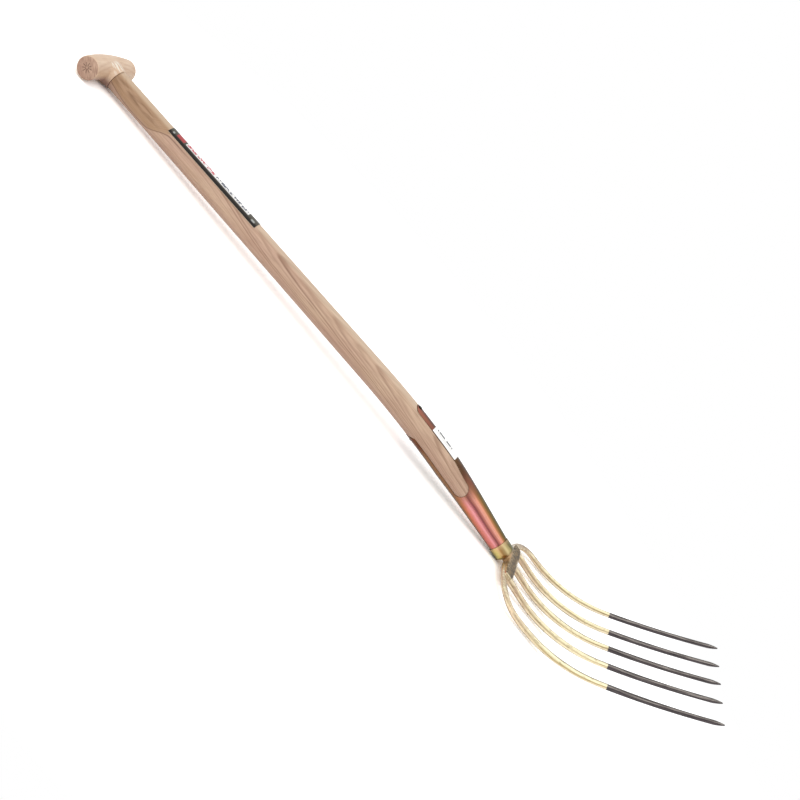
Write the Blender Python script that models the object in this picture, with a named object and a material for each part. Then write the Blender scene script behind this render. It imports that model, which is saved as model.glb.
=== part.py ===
# Manure fork: ash shaft with a T grip, a strapped steel socket and a forged head with five tines.
#
# Everything is drawn in the fork's own frame, in metres: X runs down the shaft from the grip,
# Z points to the front, the hollow side of the tines, and Y runs across the head. One line
# down the middle of the shaft and the head carries all the pieces: a place on the fork is a
# distance down this line from the grip, which the comments call its station. At the end the
# whole fork is laid on its back, on the hub of the grip and the collar, with Z up.

import math

import bmesh
import bpy
from mathutils import Matrix, Vector

MM = 0.001

# Middle line, from the grip to the tips
GRIP_TO_BEND = 522 * MM
BEND_LENGTH = 220 * MM
BEND_ANGLE = math.radians(9)
BEND_TO_SOCKET_END = 61 * MM
WEB_TO_HEEL = 25.5 * MM
HEEL_RADIUS = 197.5 * MM
HEEL_ANGLE = math.radians(39)
TINE_SWEEP_RADIUS = 1250 * MM
TINE_SWEEP_LENGTH = 161 * MM

# T grip
GRIP_LENGTH = 112 * MM
GRIP_END_DIAMETER = 30.4 * MM
GRIP_MIDDLE_DIAMETER = 32.4 * MM
GRIP_CROWN = 4 * MM
GRIP_EDGE_RADIUS = 1.6 * MM
HUB_RISE = 5.8 * MM
HUB_LIP = 0.8 * MM
HUB_BULGE = 1.6 * MM
HUB_HALF_LENGTH = 44 * MM
TENON_DIAMETER = 21.4 * MM
WEDGE_DEPTH = 24 * MM
WEDGE_TOP_THICKNESS = 3.4 * MM
WEDGE_FOOT_THICKNESS = 1.2 * MM

# Shaft
SHAFT_TOP_DIAMETER = 29.4 * MM
SHAFT_FULL_DIAMETER = 36.6 * MM
SHAFT_SHOULDER_CHAMFER = 0.8 * MM

# Socket with its two straps
SOCKET_WALL = 1.6 * MM
STRAP_PROUD = 0.6 * MM
SOCKET_END_DIAMETER = 26.8 * MM
SOCKET_TAPER_LENGTH = 121 * MM
TUBE_LENGTH = 80.5 * MM
FRONT_STRAP_LENGTH = 212 * MM
BACK_STRAP_LENGTH = 191 * MM
FRONT_STRAP_HALF_ANGLE = math.radians(34)
BACK_STRAP_HALF_ANGLE = math.radians(61)
STRAP_FLARE = 3.2 * MM
STRAP_FLARE_LENGTH = 36 * MM

# Nails through the tips of the straps
NAIL_HEAD_DIAMETER = 6.6 * MM
NAIL_HEAD_HEIGHT = 0.7 * MM
NAIL_SHANK_DIAMETER = 3 * MM
NAIL_LENGTH = 24 * MM
NAIL_POINT_LENGTH = 5 * MM
FRONT_NAIL_INSET = 5 * MM
BACK_NAIL_INSET = 9.5 * MM

# Collar under the socket
COLLAR_PROUD = 0.7 * MM
COLLAR_LENGTH = 19 * MM
COLLAR_FLOOR = 3.2 * MM
COLLAR_FLAT_WIDTH = 0.5 * MM

# Forged head
NECK_DIAMETER = 15 * MM
NECK_LENGTH = 0.8 * MM
NECK_FLARE = 1 * MM
NECK_FOOT_WIDTH = 30 * MM
TANG_LENGTH = 95 * MM
TANG_ROOT_WIDTH = 11 * MM
TANG_POINT_WIDTH = 5 * MM
WEB_HEIGHT = 14.5 * MM
WEB_THICKNESS = 11.4 * MM
WEB_MARGIN = 6 * MM
WEB_END_SHARE = 0.18
WEB_END_THINNING = 1.2 * MM
SHOULDER_DROP = 43 * MM
SHOULDER_REACH = 82 * MM
OUTER_TINE_OFFSET = 103.5 * MM
INNER_TINE_OFFSET = 47.2 * MM
OUTER_TINE_SPLAY = 6.5 * MM
INNER_TINE_SPLAY = 5.6 * MM
BAR_FLATNESS = 0.7
BAR_FLAT_LENGTH = 75 * MM
TINE_ROOT_DIAMETER = 9.8 * MM
TINE_END_DIAMETER = 6.3 * MM
TINE_ROOT_FLARE = 0.8 * MM
TINE_FLARE_LENGTH = 14 * MM
TINE_POINT_LENGTH = 15 * MM
TINE_POINT_DIAMETER = 1.6 * MM
TINE_POINT_FULLNESS = 0.65

# Sticker on the shaft and paper label on the front strap
STICKER_START = 114 * MM
STICKER_LENGTH = 166 * MM
STICKER_HALF_ANGLE = math.radians(48)
STICKER_THICKNESS = 0.25 * MM
LABEL_LENGTH = 48 * MM
LABEL_END_HEIGHT = 127 * MM
LABEL_HALF_ANGLE = math.radians(32.5)
LABEL_THICKNESS = 0.25 * MM

# Room between two pieces that touch on the real fork
CLEARANCE = 0.3 * MM

# How finely round forms are divided
SHAFT_SIDES = 28
SOCKET_SIDES = 36
GRIP_SIDES = 28
HUB_SIDES = 28
TINE_SIDES = 12
NECK_SIDES = 16
TURNED_SIDES = 28
NAIL_SIDES = 14

# Edges sharper than this stay crisp
SHARP_ANGLE = math.radians(40)

# Rings, and points of a mesh, that are closer together than this become one
SHORTEST_STEP = 2 * MM
SAME_POINT = 0.001 * MM

# Rounds in which the fork finds how it lies
RESTING_ROUNDS = 6

# How square a ring's outline is
ROUND = 2
SQUARE = 5

# How far a cutting tool reaches past what it cuts
TOOL_REACH = 12 * MM


# Stations worked out from the sizes above

SOCKET_END = GRIP_TO_BEND + BEND_LENGTH + BEND_TO_SOCKET_END
FRONT_STRAP_TIP = SOCKET_END - FRONT_STRAP_LENGTH
BACK_STRAP_TIP = SOCKET_END - BACK_STRAP_LENGTH
OPENING_END = SOCKET_END - TUBE_LENGTH
TAPER_START = SOCKET_END - SOCKET_TAPER_LENGTH
COLLAR_TOP = SOCKET_END + CLEARANCE
COLLAR_BOTTOM = COLLAR_TOP + COLLAR_LENGTH
BAR_STATION = COLLAR_BOTTOM + NECK_LENGTH + TINE_ROOT_DIAMETER / 2
WEB_BOTTOM = BAR_STATION + WEB_HEIGHT
HEEL_START = WEB_BOTTOM + WEB_TO_HEEL
SWEEP_START = HEEL_START + HEEL_RADIUS * HEEL_ANGLE
TINE_END = SWEEP_START + TINE_SWEEP_LENGTH

STRAP_RADIUS = SHAFT_FULL_DIAMETER / 2 + STRAP_PROUD
SHOULDER_STATION = GRIP_MIDDLE_DIAMETER / 2 - GRIP_CROWN + HUB_RISE
COLLAR_RADIUS = SOCKET_END_DIAMETER / 2 + COLLAR_PROUD
COLLAR_BORE_RADIUS = SOCKET_END_DIAMETER / 2 - SOCKET_WALL
COLLAR_HOLE_RADIUS = NECK_DIAMETER / 2 + CLEARANCE
FOOT_RADIUS = COLLAR_BORE_RADIUS - CLEARANCE
FOOT_STATION = COLLAR_BOTTOM - COLLAR_FLOOR - CLEARANCE


# The middle line

LINE_PIECES = [
    (GRIP_TO_BEND, 0.0),
    (BEND_LENGTH, -BEND_ANGLE),
    (HEEL_START - GRIP_TO_BEND - BEND_LENGTH, 0.0),
    (HEEL_RADIUS * HEEL_ANGLE, HEEL_ANGLE),
    (TINE_SWEEP_LENGTH, TINE_SWEEP_LENGTH / TINE_SWEEP_RADIUS),
]


def line_place(station):
    """Point of the middle line at a station, with its direction and its front normal."""
    point = Vector((0.0, 0.0, 0.0))
    angle = 0.0
    left = station
    for number, (length, turn) in enumerate(LINE_PIECES):
        last = number == len(LINE_PIECES) - 1
        run = left if last else min(left, length)
        bend = turn * run / length
        if abs(bend) > 1e-9:
            chord = 2 * run / bend * math.sin(bend / 2)
        else:
            chord = run
        middle = angle + bend / 2
        point += chord * Vector((math.cos(middle), 0.0, math.sin(middle)))
        angle += bend
        left -= run
        if left <= 0 and not last:
            break
    along = Vector((math.cos(angle), 0.0, math.sin(angle)))
    front = Vector((-math.sin(angle), 0.0, math.cos(angle)))
    return point, along, front


def steps(start, end, count):
    return [start + (end - start) * number / count for number in range(count + 1)]


def smooth_step(share):
    share = min(max(share, 0.0), 1.0)
    return share * share * (3 - 2 * share)


# Building blocks

def ring_around_line(station, radius, sides):
    """Circle square to the middle line."""
    point, along, front = line_place(station)
    ring = []
    for number in range(sides):
        turn = 2 * math.pi * number / sides
        side = Vector((0.0, math.sin(turn), 0.0))
        ring.append(point + radius * (math.cos(turn) * front + side))
    return ring


def rounded_ring(centre, width_axis, depth_axis, half_width, half_depth, squareness, sides):
    """Closed ring of points: an ellipse when ROUND, or a rectangle with soft corners when SQUARE."""
    ring = []
    for number in range(sides):
        turn = 2 * math.pi * (number + 0.5) / sides
        across = math.copysign(abs(math.cos(turn)) ** (2 / squareness), math.cos(turn))
        deep = math.copysign(abs(math.sin(turn)) ** (2 / squareness), math.sin(turn))
        ring.append(centre + half_width * across * width_axis + half_depth * deep * depth_axis)
    return ring


def loft(rings):
    """Closed body drawn out ring by ring, with a flat face at both ends."""
    body = bmesh.new()
    first = [body.verts.new(point) for point in rings[0]]
    face = body.faces.new(first)
    for ring in rings[1:]:
        face = bmesh.ops.extrude_discrete_faces(body, faces=[face])["faces"][0]
        for vertex, point in zip(face.verts, ring):
            vertex.co = point
    body.faces.new(first)
    bmesh.ops.recalc_face_normals(body, faces=body.faces)
    return body


def turned(profile, sides):
    """Body turned from a closed profile of (radius, height) points about the Z axis."""
    body = bmesh.new()
    corners = [body.verts.new((radius, 0.0, height)) for radius, height in profile]
    edges = []
    for number, corner in enumerate(corners):
        before = corners[number - 1]
        if corner.co.x or before.co.x:
            edges.append(body.edges.new((before, corner)))
    bmesh.ops.spin(
        body, geom=corners + edges, axis=(0, 0, 1), cent=(0, 0, 0),
        angle=2 * math.pi, steps=sides, use_merge=True,
    )
    bmesh.ops.remove_doubles(body, verts=body.verts, dist=SAME_POINT)
    bmesh.ops.recalc_face_normals(body, faces=body.faces)
    return body


def prism(outline, place, height):
    """Body drawn out of a flat outline, along the vector height."""
    low = [place(point) for point in outline]
    return loft([low, [point + height for point in low]])


def new_object(name, body, material=None):
    mesh = bpy.data.meshes.new(name)
    body.to_mesh(mesh)
    body.free()
    piece = bpy.data.objects.new(name, mesh)
    bpy.context.scene.collection.objects.link(piece)
    if material:
        mesh.materials.append(material)
    return piece


def combine(piece, tool, operation):
    """Apply a Boolean of the tool to the piece and throw the tool away."""
    modifier = piece.modifiers.new(operation.title(), "BOOLEAN")
    modifier.operation = operation
    modifier.solver = "EXACT"
    modifier.object = tool
    with bpy.context.temp_override(object=piece, active_object=piece):
        bpy.ops.object.modifier_apply(modifier=modifier.name)
    body = bmesh.new()
    body.from_mesh(piece.data)
    bmesh.ops.remove_doubles(body, verts=body.verts, dist=SAME_POINT)
    bmesh.ops.dissolve_degenerate(body, dist=SAME_POINT, edges=body.edges)
    body.to_mesh(piece.data)
    body.free()
    mesh = tool.data
    bpy.data.objects.remove(tool)
    bpy.data.meshes.remove(mesh)


def cut(piece, tool):
    combine(piece, tool, "DIFFERENCE")


def weld(piece, tool):
    combine(piece, tool, "UNION")


def finish(piece):
    piece.data.shade_smooth()
    piece.data.set_sharp_from_angle(angle=SHARP_ANGLE)
    return piece


def plain_material(name, colour, roughness, metallic=0.0):
    material = bpy.data.materials.new(name)
    material.use_nodes = True
    material.diffuse_color = (*colour, 1.0)
    shader = material.node_tree.nodes["Principled BSDF"]
    shader.inputs["Base Color"].default_value = (*colour, 1.0)
    shader.inputs["Roughness"].default_value = roughness
    shader.inputs["Metallic"].default_value = metallic
    return material


# T grip: a turned bar, thicker in the middle, with a hub that the shaft's shoulder meets

def grip_radius(offset):
    share = abs(offset) / (GRIP_LENGTH / 2)
    swell = (GRIP_MIDDLE_DIAMETER - GRIP_END_DIAMETER) / 2
    return GRIP_END_DIAMETER / 2 + swell * (1 - share * share)


def grip_centre(offset):
    """Middle of the bar at a distance along it: the bar is crowned away from the shaft."""
    share = offset / (GRIP_LENGTH / 2)
    return Vector((-GRIP_CROWN * (1 - share * share), offset, 0.0))


def grip_bar():
    half = GRIP_LENGTH / 2
    corner = GRIP_EDGE_RADIUS
    body_offsets = steps(-half + corner, half - corner, 12)
    stations = [(offset, grip_radius(offset)) for offset in body_offsets]
    rim = []
    for turn in (30, 60, 90):
        angle = math.radians(turn)
        offset = half - corner + corner * math.sin(angle)
        rim.append((offset, grip_radius(half - corner) - corner * (1 - math.cos(angle))))
    stations = [(-offset, radius) for offset, radius in reversed(rim)] + stations + rim
    axis_x = Vector((1.0, 0.0, 0.0))
    axis_z = Vector((0.0, 0.0, 1.0))
    rings = []
    for offset, radius in stations:
        rings.append(rounded_ring(grip_centre(offset), axis_x, axis_z, radius, radius, ROUND, GRIP_SIDES))
    return loft(rings)


def grip_hub():
    """Hub that swells out of the bar's middle and ends in the flat face under the shaft."""
    start = -GRIP_CROWN
    mouth = SHAFT_TOP_DIAMETER / 2 + HUB_LIP
    rings = []
    for share in steps(0.0, 1.0, 6):
        station = start + (SHOULDER_STATION - start) * share
        flare = (1 - share) ** 2
        half_length = mouth + (HUB_HALF_LENGTH - mouth) * flare
        half_depth = mouth + HUB_BULGE * math.sin(share * math.pi)
        centre = Vector((station, 0.0, 0.0))
        across = Vector((0.0, 1.0, 0.0))
        deep = Vector((0.0, 0.0, 1.0))
        rings.append(rounded_ring(centre, across, deep, half_length, half_depth, ROUND, HUB_SIDES))
    return loft(rings)


def grip_solid(name, material=None):
    """The whole grip before its bore is made."""
    grip = new_object(name, grip_bar(), material)
    weld(grip, new_object("hub", grip_hub()))
    return grip


def make_grip(material):
    grip = grip_solid("t_grip", material)
    radius = TENON_DIAMETER / 2 + CLEARANCE
    low = -GRIP_CROWN - GRIP_MIDDLE_DIAMETER / 2 - TOOL_REACH
    high = SHOULDER_STATION + TOOL_REACH
    bore = loft([ring_around_line(low, radius, SHAFT_SIDES), ring_around_line(high, radius, SHAFT_SIDES)])
    cut(grip, new_object("grip_bore", bore))
    return finish(grip)


def trim_above_grip(piece):
    """Cut off what stands out of the top of the grip, flush with its round back."""
    reach = TENON_DIAMETER / 2 + TOOL_REACH / 2
    top = -GRIP_CROWN - GRIP_MIDDLE_DIAMETER / 2 - 2 * TOOL_REACH
    outline = [(-reach, -reach), (reach, -reach), (reach, reach), (-reach, reach)]
    block = prism(outline, lambda p: Vector((top, p[0], p[1])), Vector((-GRIP_CROWN - top, 0.0, 0.0)))
    above = new_object("above_grip", block)
    cut(above, grip_solid("grip_blank"))
    cut(piece, above)


# Wedge that spreads the tenon in the grip

def wedge_body(extra):
    """Wedge across the tenon, or the kerf for it when there is something extra all round."""
    top = -GRIP_CROWN - GRIP_MIDDLE_DIAMETER / 2
    rings = []
    for station, thickness in (
        (top - TOOL_REACH / 2, WEDGE_TOP_THICKNESS),
        (top, WEDGE_TOP_THICKNESS),
        (top + WEDGE_DEPTH + extra, WEDGE_FOOT_THICKNESS),
    ):
        half_thickness = thickness / 2 + extra
        half_width = TENON_DIAMETER / 2 - 2 * CLEARANCE
        if extra:
            half_width += TOOL_REACH / 2
        rings.append([
            Vector((station, half_thickness * across, half_width * deep))
            for across, deep in ((-1, -1), (1, -1), (1, 1), (-1, 1))
        ])
    return loft(rings)


def make_wedge(material):
    wedge = new_object("tenon_wedge", wedge_body(0.0), material)
    trim_above_grip(wedge)
    return finish(wedge)


# Socket: a tapered tube that is cut open on both sides into a front and a back strap

def socket_radius(station):
    share = (station - TAPER_START) / SOCKET_TAPER_LENGTH
    share = min(max(share, 0.0), 1.0)
    return STRAP_RADIUS + (SOCKET_END_DIAMETER / 2 - STRAP_RADIUS) * share


def socket_stations(start, end):
    bend_end = GRIP_TO_BEND + BEND_LENGTH
    marks = {start, end}
    marks.update(steps(GRIP_TO_BEND, bend_end, 10))
    marks.update(steps(TAPER_START, SOCKET_END, 8))
    marks = sorted(mark for mark in marks if start <= mark <= end)
    kept = [marks[0]]
    for mark in marks[1:]:
        if mark - kept[-1] > SHORTEST_STEP:
            kept.append(mark)
    kept[-1] = end
    return kept


def tube_body(start, end, outward):
    """Solid of the socket's outer shape, grown by outward."""
    rings = []
    for station in socket_stations(start, end):
        rings.append(ring_around_line(station, socket_radius(station) + outward, SOCKET_SIDES))
    return loft(rings)


def side_opening(shrink):
    """Tool that opens the tube on both sides: the gap between the straps, round at its end."""
    front_edge = STRAP_RADIUS * math.cos(FRONT_STRAP_HALF_ANGLE) - shrink
    back_edge = -STRAP_RADIUS * math.cos(BACK_STRAP_HALF_ANGLE) + shrink
    low_edge = front_edge - STRAP_FLARE
    radius = (low_edge - back_edge) / 2
    middle = (low_edge + back_edge) / 2
    end = OPENING_END - shrink - radius
    flare_start = end - STRAP_FLARE_LENGTH
    start = FRONT_STRAP_TIP - TOOL_REACH
    outline = [(station, front_edge) for station in steps(start, flare_start, 9)]
    for share in steps(0.0, 1.0, 6)[1:]:
        outline.append((flare_start + STRAP_FLARE_LENGTH * share, front_edge - STRAP_FLARE * smooth_step(share)))
    for turn in steps(90.0, -90.0, 12)[1:-1]:
        angle = math.radians(turn)
        outline.append((end + radius * math.cos(angle), middle + radius * math.sin(angle)))
    outline += [(station, back_edge) for station in steps(end, start, 14)]
    reach = STRAP_RADIUS + TOOL_REACH

    def place(point):
        centre, along, front = line_place(point[0])
        return centre + point[1] * front + Vector((0.0, -reach, 0.0))

    return prism(outline, place, Vector((0.0, 2 * reach, 0.0)))


def tip_tool(tip, half_angle, side, grow):
    """Tool that leaves a strap's tip round; side is 1 for the front strap and -1 for the back."""
    radius = STRAP_RADIUS * math.sin(half_angle) + grow
    start = min(FRONT_STRAP_TIP, BACK_STRAP_TIP) - 2 * TOOL_REACH
    wide = STRAP_RADIUS + TOOL_REACH
    centre = tip - grow + radius
    outline = [(start, -wide), (start, wide), (centre, wide)]
    for turn in steps(90.0, -90.0, 16):
        angle = math.radians(turn)
        outline.append((centre - radius * math.cos(angle), radius * math.sin(angle)))
    outline.append((centre, -wide))
    origin, along, front = line_place(tip)

    def place(point):
        return origin + (point[0] - tip) * along + Vector((0.0, point[1], 0.0))

    return prism(outline, place, side * wide * front)


def nail_hole(station, side):
    point, along, front = line_place(station)
    radius = NAIL_SHANK_DIAMETER / 2 + CLEARANCE
    height = NAIL_LENGTH + CLEARANCE
    across = Vector((0.0, 1.0, 0.0))
    outer = socket_radius(station)
    rings = []
    for level in (outer + TOOL_REACH / 2, outer - height):
        centre = point + side * level * front
        rings.append(rounded_ring(centre, along, across, radius, radius, ROUND, NAIL_SIDES))
    return loft(rings)


NAILS = (
    ("strap_nail_front", FRONT_STRAP_TIP + FRONT_NAIL_INSET, 1),
    ("strap_nail_back", BACK_STRAP_TIP + BACK_NAIL_INSET, -1),
)


def strapped_shell(name, bore_grow, outer_grow, edge_grow, material=None):
    """The strapped socket, or with growth on its faces the room that the shaft leaves for it."""
    top = min(FRONT_STRAP_TIP, BACK_STRAP_TIP) - TOOL_REACH / 2
    shell = new_object(name, tube_body(top, SOCKET_END + edge_grow, outer_grow), material)
    bore = tube_body(top - TOOL_REACH, SOCKET_END + edge_grow + TOOL_REACH, -SOCKET_WALL - bore_grow)
    cut(shell, new_object("bore", bore))
    cut(shell, new_object("side_opening", side_opening(edge_grow)))
    cut(shell, new_object("front_tip", tip_tool(FRONT_STRAP_TIP, FRONT_STRAP_HALF_ANGLE, 1, edge_grow)))
    cut(shell, new_object("back_tip", tip_tool(BACK_STRAP_TIP, BACK_STRAP_HALF_ANGLE, -1, edge_grow)))
    return shell


def make_socket(material):
    socket = strapped_shell("strapped_socket", 0.0, 0.0, 0.0, material)
    for name, station, side in NAILS:
        cut(socket, new_object(name + "_hole", nail_hole(station, side)))
    return finish(socket)


# Nails

def make_nail(name, station, side, material):
    point, along, front = line_place(station)
    head = NAIL_HEAD_DIAMETER / 2
    shank = NAIL_SHANK_DIAMETER / 2
    seat = CLEARANCE
    profile = [(0.0, seat - NAIL_LENGTH)]
    profile.append((shank, seat - NAIL_LENGTH + NAIL_POINT_LENGTH))
    profile.append((shank, seat))
    profile.append((head, seat))
    for turn in (15, 40, 65):
        angle = math.radians(turn)
        profile.append((head * math.cos(angle), seat + NAIL_HEAD_HEIGHT * math.sin(angle)))
    profile.append((0.0, seat + NAIL_HEAD_HEIGHT))
    body = turned(profile, NAIL_SIDES)
    place = Matrix.Translation(point + side * socket_radius(station) * front)
    axes = Matrix((along, side * front.cross(along), side * front)).transposed().to_4x4()
    bmesh.ops.transform(body, matrix=place @ axes, verts=body.verts)
    bmesh.ops.recalc_face_normals(body, faces=body.faces)
    return finish(new_object(name, body, material))


# Shaft

def shaft_radius(station):
    """Radius of the bare wood; between the straps it stays just under their outer face."""
    if station >= FRONT_STRAP_TIP:
        return socket_radius(station) - STRAP_PROUD
    share = (station - SHOULDER_STATION) / (FRONT_STRAP_TIP - SHOULDER_STATION)
    return (SHAFT_TOP_DIAMETER + (SHAFT_FULL_DIAMETER - SHAFT_TOP_DIAMETER) * share) / 2


def shaft_body():
    shoulder = SHOULDER_STATION + CLEARANCE
    tenon = TENON_DIAMETER / 2
    top = -GRIP_CROWN - GRIP_MIDDLE_DIAMETER / 2 - TOOL_REACH
    stations = [(top, tenon), (shoulder, tenon)]
    stations.append((shoulder, shaft_radius(shoulder) - SHAFT_SHOULDER_CHAMFER))
    chamfer_end = shoulder + SHAFT_SHOULDER_CHAMFER
    stations.append((chamfer_end, shaft_radius(chamfer_end)))
    for station in steps(chamfer_end, GRIP_TO_BEND, 6)[1:-1]:
        stations.append((station, shaft_radius(station)))
    last_free = SOCKET_END - 2 * CLEARANCE
    for station in socket_stations(GRIP_TO_BEND, last_free):
        stations.append((station, shaft_radius(station)))
    stations.append((last_free, FOOT_RADIUS))
    stations.append((FOOT_STATION, FOOT_RADIUS))
    return loft([ring_around_line(station, radius, SHAFT_SIDES) for station, radius in stations])


def make_shaft(material):
    shaft = new_object("shaft", shaft_body(), material)
    trim_above_grip(shaft)
    cut(shaft, new_object("kerf", wedge_body(CLEARANCE)))
    room = strapped_shell("socket_room", CLEARANCE, TOOL_REACH / 2, CLEARANCE)
    cut(shaft, room)
    cut(shaft, new_object("tang_bore", tang_body(CLEARANCE)))
    for name, station, side in NAILS:
        cut(shaft, new_object(name + "_pilot", nail_hole(station, side)))
    return finish(shaft)


# Collar: a turned cup that closes the socket's lower end

def make_collar(material):
    bottom = -COLLAR_LENGTH
    corner = COLLAR_RADIUS - COLLAR_HOLE_RADIUS - COLLAR_FLAT_WIDTH
    profile = [(COLLAR_BORE_RADIUS, 0.0), (COLLAR_RADIUS, 0.0)]
    for turn in steps(0.0, 90.0, 6):
        angle = math.radians(turn)
        radius = COLLAR_RADIUS - corner + corner * math.cos(angle)
        profile.append((radius, bottom + corner - corner * math.sin(angle)))
    profile.append((COLLAR_HOLE_RADIUS, bottom))
    profile.append((COLLAR_HOLE_RADIUS, bottom + COLLAR_FLOOR))
    profile.append((COLLAR_BORE_RADIUS, bottom + COLLAR_FLOOR))
    body = turned(profile, TURNED_SIDES)
    point, along, front = line_place(COLLAR_TOP)
    axes = Matrix((front, front.cross(along), -along)).transposed().to_4x4()
    bmesh.ops.transform(body, matrix=Matrix.Translation(point) @ axes, verts=body.verts)
    bmesh.ops.recalc_face_normals(body, faces=body.faces)
    return finish(new_object("socket_collar", body, material))


# Forged head: a bar that bows out into the two outer tines, and a web in it for the inner ones

def tine_radius(station):
    """Radius of the bar and of a tine at a station: a slow taper, and then the point."""
    point_start = TINE_END - TINE_POINT_LENGTH
    if station > point_start:
        share = (station - point_start) / TINE_POINT_LENGTH
        thick = TINE_END_DIAMETER / 2
        thin = TINE_POINT_DIAMETER / 2
        narrowing = share * (1 - TINE_POINT_FULLNESS + TINE_POINT_FULLNESS * share)
        return thick + (thin - thick) * narrowing
    share = (station - WEB_BOTTOM) / (point_start - WEB_BOTTOM)
    share = min(max(share, 0.0), 1.0)
    return (TINE_ROOT_DIAMETER + (TINE_END_DIAMETER - TINE_ROOT_DIAMETER) * share) / 2


def tine_stations(start):
    """Stations of a tine from a start down to its point, closer together where it curves."""
    point_start = TINE_END - TINE_POINT_LENGTH
    marks = [start]
    marks += [mark for mark in steps(HEEL_START, SWEEP_START, 11) if mark > start + 2 * SHORTEST_STEP]
    marks += steps(SWEEP_START, point_start, 5)[1:]
    marks += steps(point_start, TINE_END, 5)[1:]
    return marks


def tine_offset(root_offset, splay, start, station):
    """Distance of a tine from the middle plane: it runs out by its splay, less and less."""
    share = (station - start) / (TINE_END - start)
    return root_offset + splay * math.sin(share * math.pi / 2)


def bar_flatness(station):
    """Thickness of the bar for its width: it is hammered flat, and the tines below are round."""
    return BAR_FLATNESS + (1 - BAR_FLATNESS) * smooth_step((station - BAR_STATION) / BAR_FLAT_LENGTH)


def bow_place(turn):
    """Station and offset of the bar where it turns down into an outer tine."""
    station = BAR_STATION + SHOULDER_DROP * (1 - math.cos(turn))
    offset = OUTER_TINE_OFFSET + SHOULDER_REACH * (math.sin(turn) - 1)
    return station, offset


def bow_half():
    """Rings from the middle of the bar out to its shoulder and down to one outer point."""
    across = Vector((0.0, 1.0, 0.0))
    marks = [(BAR_STATION, 0.0, 0.0)]
    for turn in steps(0.0, math.pi / 2, 12):
        station, offset = bow_place(turn)
        heading = math.atan2(SHOULDER_DROP * math.sin(turn), SHOULDER_REACH * math.cos(turn))
        marks.append((station, offset, heading))
    start = BAR_STATION + SHOULDER_DROP
    for station in tine_stations(start)[1:]:
        offset = tine_offset(OUTER_TINE_OFFSET, OUTER_TINE_SPLAY, start, station)
        marks.append((station, offset, math.pi / 2))
    rings = []
    for station, offset, heading in marks:
        centre, along, front = line_place(station)
        centre = centre + offset * across
        inward = math.cos(heading) * along - math.sin(heading) * across
        radius = tine_radius(station)
        depth = radius * bar_flatness(station)
        centre = centre - (radius - depth) * front
        rings.append(rounded_ring(centre, inward, front, radius, depth, ROUND, TINE_SIDES))
    return rings


def bow_body():
    """The bar and both outer tines in one forging, from point to point."""
    half = bow_half()
    mirrored = []
    for ring in half[1:]:
        mirrored.append([Vector((point.x, -point.y, point.z)) for point in ring])
    return loft(list(reversed(mirrored)) + half)


def web_body():
    """Flat web under the bar, that the inner tines spring from; its ends run out into the bar."""
    half_length = INNER_TINE_OFFSET + WEB_MARGIN
    bottom_corner = TINE_ROOT_DIAMETER / 2
    far_end = steps(-1.0, WEB_END_SHARE - 1.0, 3)
    near_end = steps(1.0 - WEB_END_SHARE, 1.0, 3)
    rings = []
    for share in far_end + near_end:
        run_out = max((abs(share) - 1.0 + WEB_END_SHARE) / WEB_END_SHARE, 0.0) ** 2
        offset = half_length * share
        reach = (abs(offset) - OUTER_TINE_OFFSET + SHOULDER_REACH) / SHOULDER_REACH
        bar_station = bow_place(math.asin(min(max(reach, 0.0), 1.0)))[0]
        bottom = WEB_BOTTOM - bottom_corner * run_out
        top = bar_station - TINE_ROOT_DIAMETER / 4
        centre, along, front = line_place((top + bottom) / 2)
        centre = centre + Vector((0.0, offset, 0.0))
        half_height = (bottom - top) / 2
        half_depth = (WEB_THICKNESS - WEB_END_THINNING * run_out) / 2
        rings.append(rounded_ring(centre, along, front, half_height, half_depth, SQUARE, NECK_SIDES))
    return loft(rings)


def inner_tine(offset, splay):
    start = (BAR_STATION + WEB_BOTTOM) / 2
    marks = [start] + steps(WEB_BOTTOM, WEB_BOTTOM + TINE_FLARE_LENGTH, 4)
    marks += tine_stations(marks[-1])[1:]
    across = Vector((0.0, 1.0, 0.0))
    rings = []
    for station in marks:
        flare = 1 - smooth_step((station - WEB_BOTTOM) / TINE_FLARE_LENGTH)
        radius = tine_radius(station)
        centre, along, front = line_place(station)
        centre = centre + tine_offset(offset, splay, start, station) * across
        wide = radius + TINE_ROOT_FLARE * flare
        rings.append(rounded_ring(centre, across, front, wide, radius, ROUND, TINE_SIDES))
    return loft(rings)


def neck_body():
    """Round neck through the collar's floor, that spreads out along the bar below it."""
    across = Vector((0.0, 1.0, 0.0))
    neck = NECK_DIAMETER / 2
    foot = NECK_FOOT_WIDTH / 2
    foot_depth = WEB_THICKNESS / 2 - CLEARANCE
    high = COLLAR_BOTTOM + NECK_LENGTH
    low = BAR_STATION + TINE_ROOT_DIAMETER / 4
    rings = []
    for station, half_width, half_depth in (
        (COLLAR_BOTTOM - COLLAR_FLOOR, neck, neck),
        (COLLAR_BOTTOM, neck, neck),
        (high, neck + NECK_FLARE, neck),
        ((high + low) / 2, (neck + foot) / 2, (neck + foot_depth) / 2),
        (low, foot, foot_depth),
    ):
        centre, along, front = line_place(station)
        rings.append(rounded_ring(centre, across, front, half_width, half_depth, ROUND, NECK_SIDES))
    return loft(rings)


def tang_body(grow):
    """Square spike in the shaft; grow gives the hole for it."""
    across = Vector((0.0, 1.0, 0.0))
    foot = COLLAR_BOTTOM - COLLAR_FLOOR
    point = foot - TANG_LENGTH
    rings = []
    for station, width in (
        (foot + COLLAR_FLOOR / 2, TANG_ROOT_WIDTH),
        (foot, TANG_ROOT_WIDTH),
        (point - grow, TANG_POINT_WIDTH),
        (point - TANG_POINT_WIDTH - grow, TANG_POINT_WIDTH / 3),
    ):
        centre, along, front = line_place(station)
        reach = width / 2 + grow
        rings.append(rounded_ring(centre, across, front, reach, reach, SQUARE, NECK_SIDES))
    return loft(rings)


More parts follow.
